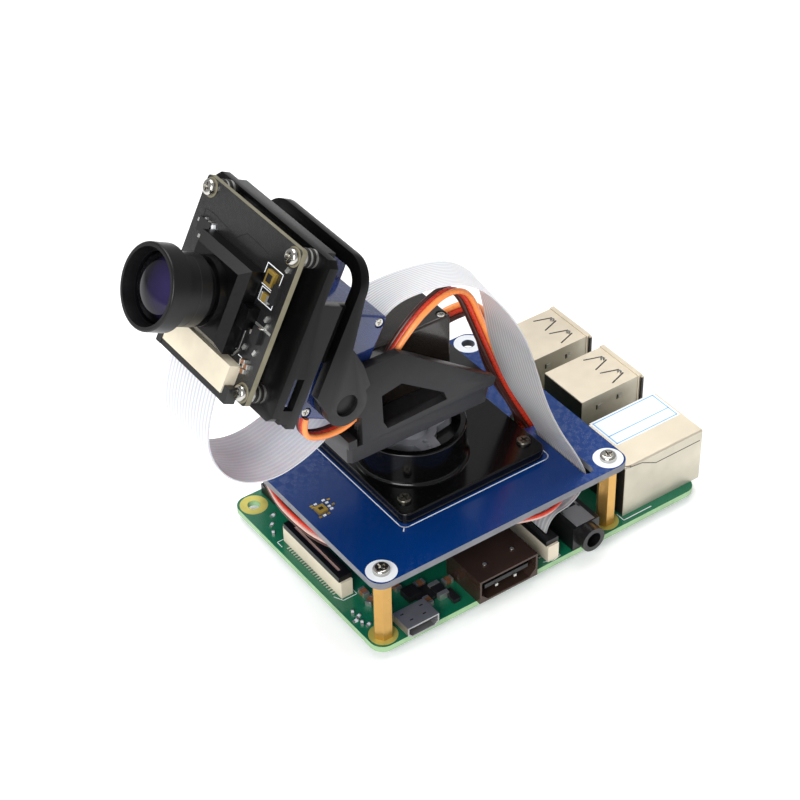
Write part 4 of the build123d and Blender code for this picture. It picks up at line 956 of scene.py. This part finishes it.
def small_port_details(bits):
    """Details of the HDMI and micro-USB sockets, the display port and the audio jack."""
    for x, y in ((-4.0, -25.4), (3.4, -25.0)):
        bits.ring(x, y, HDMI_TOP - 0.05, HDMI_TOP + 0.2, 0.3, 0.75, "dark_shell", 24)
        bits.ring(x, y, HDMI_TOP - 0.05, HDMI_TOP + 0.35, 0.02, 0.42, "solder", 24)
    for x, y in ((-23.6, -26.9), (-20.4, -26.9), (-24.4, -24.6), (-19.6, -24.6)):
        bits.bead(x, y, 0.4, 0.16, MICRO_TOP - 0.05, MICRO_TOP + 0.03, "slot_dark")
    bits.box(-28.95, -28.25, -8.4, 8.4, 5.9, 6.5, "wire_pale")
    for x in (-3.2, 1.6):
        bits.box(x - 0.35, x + 0.35, -28.6, -28.3, 3.5, 4.1, "solder")
    low, high = JACK_TOP - 0.02, JACK_TOP + 0.1
    bits.box(18.6, 23.4, -27.6, -22.0, low, high, "grey_shell")
    crown = ((18.8, -22.6), (18.8, -20.2), (21.0, -21.6), (23.2, -20.2), (23.2, -22.6))
    bits.line(crown, 0.5, low, high, "grey_shell")


def port_details():
    """All the small features of the sockets."""
    bits = Bits("port_details", "root", BOARD_FRAME)
    for y0 in USB_Y:
        usb_details(bits, y0)
    ethernet_details(bits)
    small_port_details(bits)
    bits.done(0.03)


# ------------------------------------------------------------------ details of the upper board
SENSOR_PARTS = (
    (-29.6, -0.3), (-28.6, -0.3), (-29.6, -0.9), (-26.6, -0.2), (-25.6, -0.6), (-26.4, -1.2),
    (-29.9, -4.2), (-28.9, -4.2), (-27.9, -4.2), (-26.6, -2.4), (-25.6, -2.4), (-26.6, -3.3),
)
PRINT_X, PRINT_END_Y, PRINT_CORNER_Y, PRINT_R = (-18.4, 19.6), 16.0, -15.6, 1.5


def base_outline():
    """The printed line round the turntable's base, with its two rounded corners."""
    left, right = PRINT_X
    turns = [a * pi / 12 for a in range(7)]
    points = [(left, PRINT_END_Y), (left, PRINT_CORNER_Y)]
    points += [
        (left + PRINT_R * (1 - cos(a)), PRINT_CORNER_Y - PRINT_R * sin(a)) for a in turns[1:]
    ]
    points += [
        (right - PRINT_R * (1 - sin(a)), PRINT_CORNER_Y - PRINT_R * cos(a)) for a in turns
    ]
    return points + [(right, PRINT_END_Y)]


def upper_board_details():
    """Printed rings and lines on the blue board, and the light sensor's small parts."""
    bits = Bits("upper_board_print", "root", BOARD_FRAME)
    z0, z1 = HAT_TOP - 0.01, HAT_TOP + 0.03
    for x, y in BOARD_HOLES:
        bits.ring(x, y, z0, z1, 1.5, 3.25, "white_ink")
    bits.line(base_outline(), 0.22, z0, z1, "white_ink")
    bits.line(((-18.2, -17.0), (-18.7, -17.6)), 0.22, z0, z1, "white_ink")
    for i, (x, y) in enumerate(SENSOR_PARTS):
        bits.bead(x, y, 0.32, 0.22, z0, z1 + 0.15, "white_ink" if i % 2 else "gold")
    bits.box(-29.2, -28.2, -2.9, -2.1, HAT_TOP + 0.6, HAT_TOP + 0.74, "chip")
    bits.ring(25.6, -2.6, z0, z1, 0.45, 0.72, "white_ink", 24)
    bits.done(0.0)


# ------------------------------------------------------------------ details of the camera
CORNER_PARTS = (
    (-13.2, 22.2), (-12.0, 22.9), (-10.6, 22.6), (-9.2, 22.8), (-12.6, 20.8), (-11.2, 21.2),
    (-9.8, 21.4), (-8.4, 21.8), (-11.6, 19.6), (-10.2, 19.8), (-9.0, 18.6), (-10.4, 17.6),
)
BROWN_PARTS = ((12.6, 13.0), (11.6, 12.0), (12.7, 11.0), (11.8, 6.0), (12.9, 5.6), (12.4, 4.4))
PALE_PARTS = ((13.4, 15.6), (14.2, 14.4), (13.6, 8.8), (10.4, 8.4), (14.0, 26.0), (6.6, 3.6))
CAMERA_TRACK = (
    (-13.4, 22.9), (-13.4, 24.6), (-11.1, 24.9), (-2.4, 24.2), (0.0, 26.2), (3.4, 26.2), (7.6, 25.9),
)
CHIP_FRAMES = (
    ((8.2, 24.6), (13.2, 24.6), (13.2, 20.6), (8.2, 20.6), (8.2, 24.6)),
    ((9.0, 20.2), (13.4, 20.2), (13.4, 17.6), (9.0, 17.6), (9.0, 20.2)),
)


def corner_details(bits):
    """The bare ring and two dark bands round the spacer at each corner screw."""
    z = PCB_F
    for u in PCB_HOLES_U:
        for x in (-PCB_HOLE_X, PCB_HOLE_X):
            bits.ring(x, u, z - 0.01, z + 0.03, 1.2, 1.95, "black_edge", 32)
            for depth in (1.9, 3.1):
                bits.ring(x, u, z - depth - 0.7, z - depth, 1.7, 1.85, "slot_dark", 32)


def connector_details(bits):
    """The ribbon connector's pins and the two ends of its latch."""
    z = PCB_F
    for i in range(20):
        x = -9.6 + i * 0.86
        bits.box(x - 0.13, x + 0.13, 4.6, 5.5, z, z + 0.3, "solder")
    for i in range(6):
        x = 5.2 + i * 0.7
        bits.box(x - 0.12, x + 0.12, 5.2, 7.2, z, z + 0.4, "solder", -30)
    bits.line(((9.0, 11.3), (9.0, 6.6)), 0.2, z, z + 0.05, "solder")
    bits.line(((9.4, 6.2), (10.6, 6.2), (10.6, 3.2)), 0.16, z, z + 0.04, "white_ink")
    bits.box(2.4, 15.6, 13.4, 13.9, z, z + 0.12, "solder")
    for x in (-10.4, 12.4):
        bits.box(x - 0.8, x + 0.8, -2.2, 0.9, z + 0.1, z + 2.5, "black")


def camera_board_details():
    """Small parts, print and tracks on the camera board."""
    bits = Bits("camera_board_parts", "tilt_head", UPRIGHT_HEAD)
    z = PCB_F
    corner_details(bits)
    for points in CHIP_FRAMES:
        bits.line(points, 0.18, z, z + 0.03, "white_ink")
    bits.box(9.6, 12.0, 21.2, 24.0, z, z + 0.8, "gold")
    bits.box(10.1, 11.5, 21.8, 23.4, z + 0.75, z + 0.9, "chip")
    bits.chip_part(11.2, 18.9, z, 2.6, 1.5, 0.8, "gold")
    bits.line(CAMERA_TRACK, 0.16, z, z + 0.05, "chip")
    for i, (x, y) in enumerate(CORNER_PARTS):
        body = "solder" if i % 3 else "white_ink"
        bits.chip_part(x, y, z, 1.3, 0.7, 0.6, body, 40 * (i % 4))
    for x, y in BROWN_PARTS:
        bits.chip_part(x, y, z, 1.6, 0.85, 0.7, "capacitor", 15)
    for x, y in PALE_PARTS:
        bits.chip_part(x, y, z, 1.1, 0.6, 0.45, "solder", 70)
    connector_details(bits)
    bits.done(0.04)


def lens_details():
    """The fine groove on the lens barrel and the thread behind it."""
    bits = Bits("lens_details", "lens", UPRIGHT_HEAD)
    bits.ring(0.0, LENS_U, 34.6, 34.75, 6.85, 6.93, "slot_dark", 64)
    for z in (24.9, 25.7, 26.5, 27.3, 28.1, 28.9, 29.7, 30.9, 31.6):
        bits.ring(0.0, LENS_U, z, z + 0.3, 5.5, 5.66, "lens_black", 48)
    bits.done(0.0)


make_camera()
make_studio()
dress_nodes()
for rounded_node in ("bracket_near", "bracket_far", "head_frame"):
    softened(rounded_node)
make_ribbon()
make_leads()
main_board_details()
port_details()
upper_board_details()
camera_board_details()
lens_details()
tucked_wires()
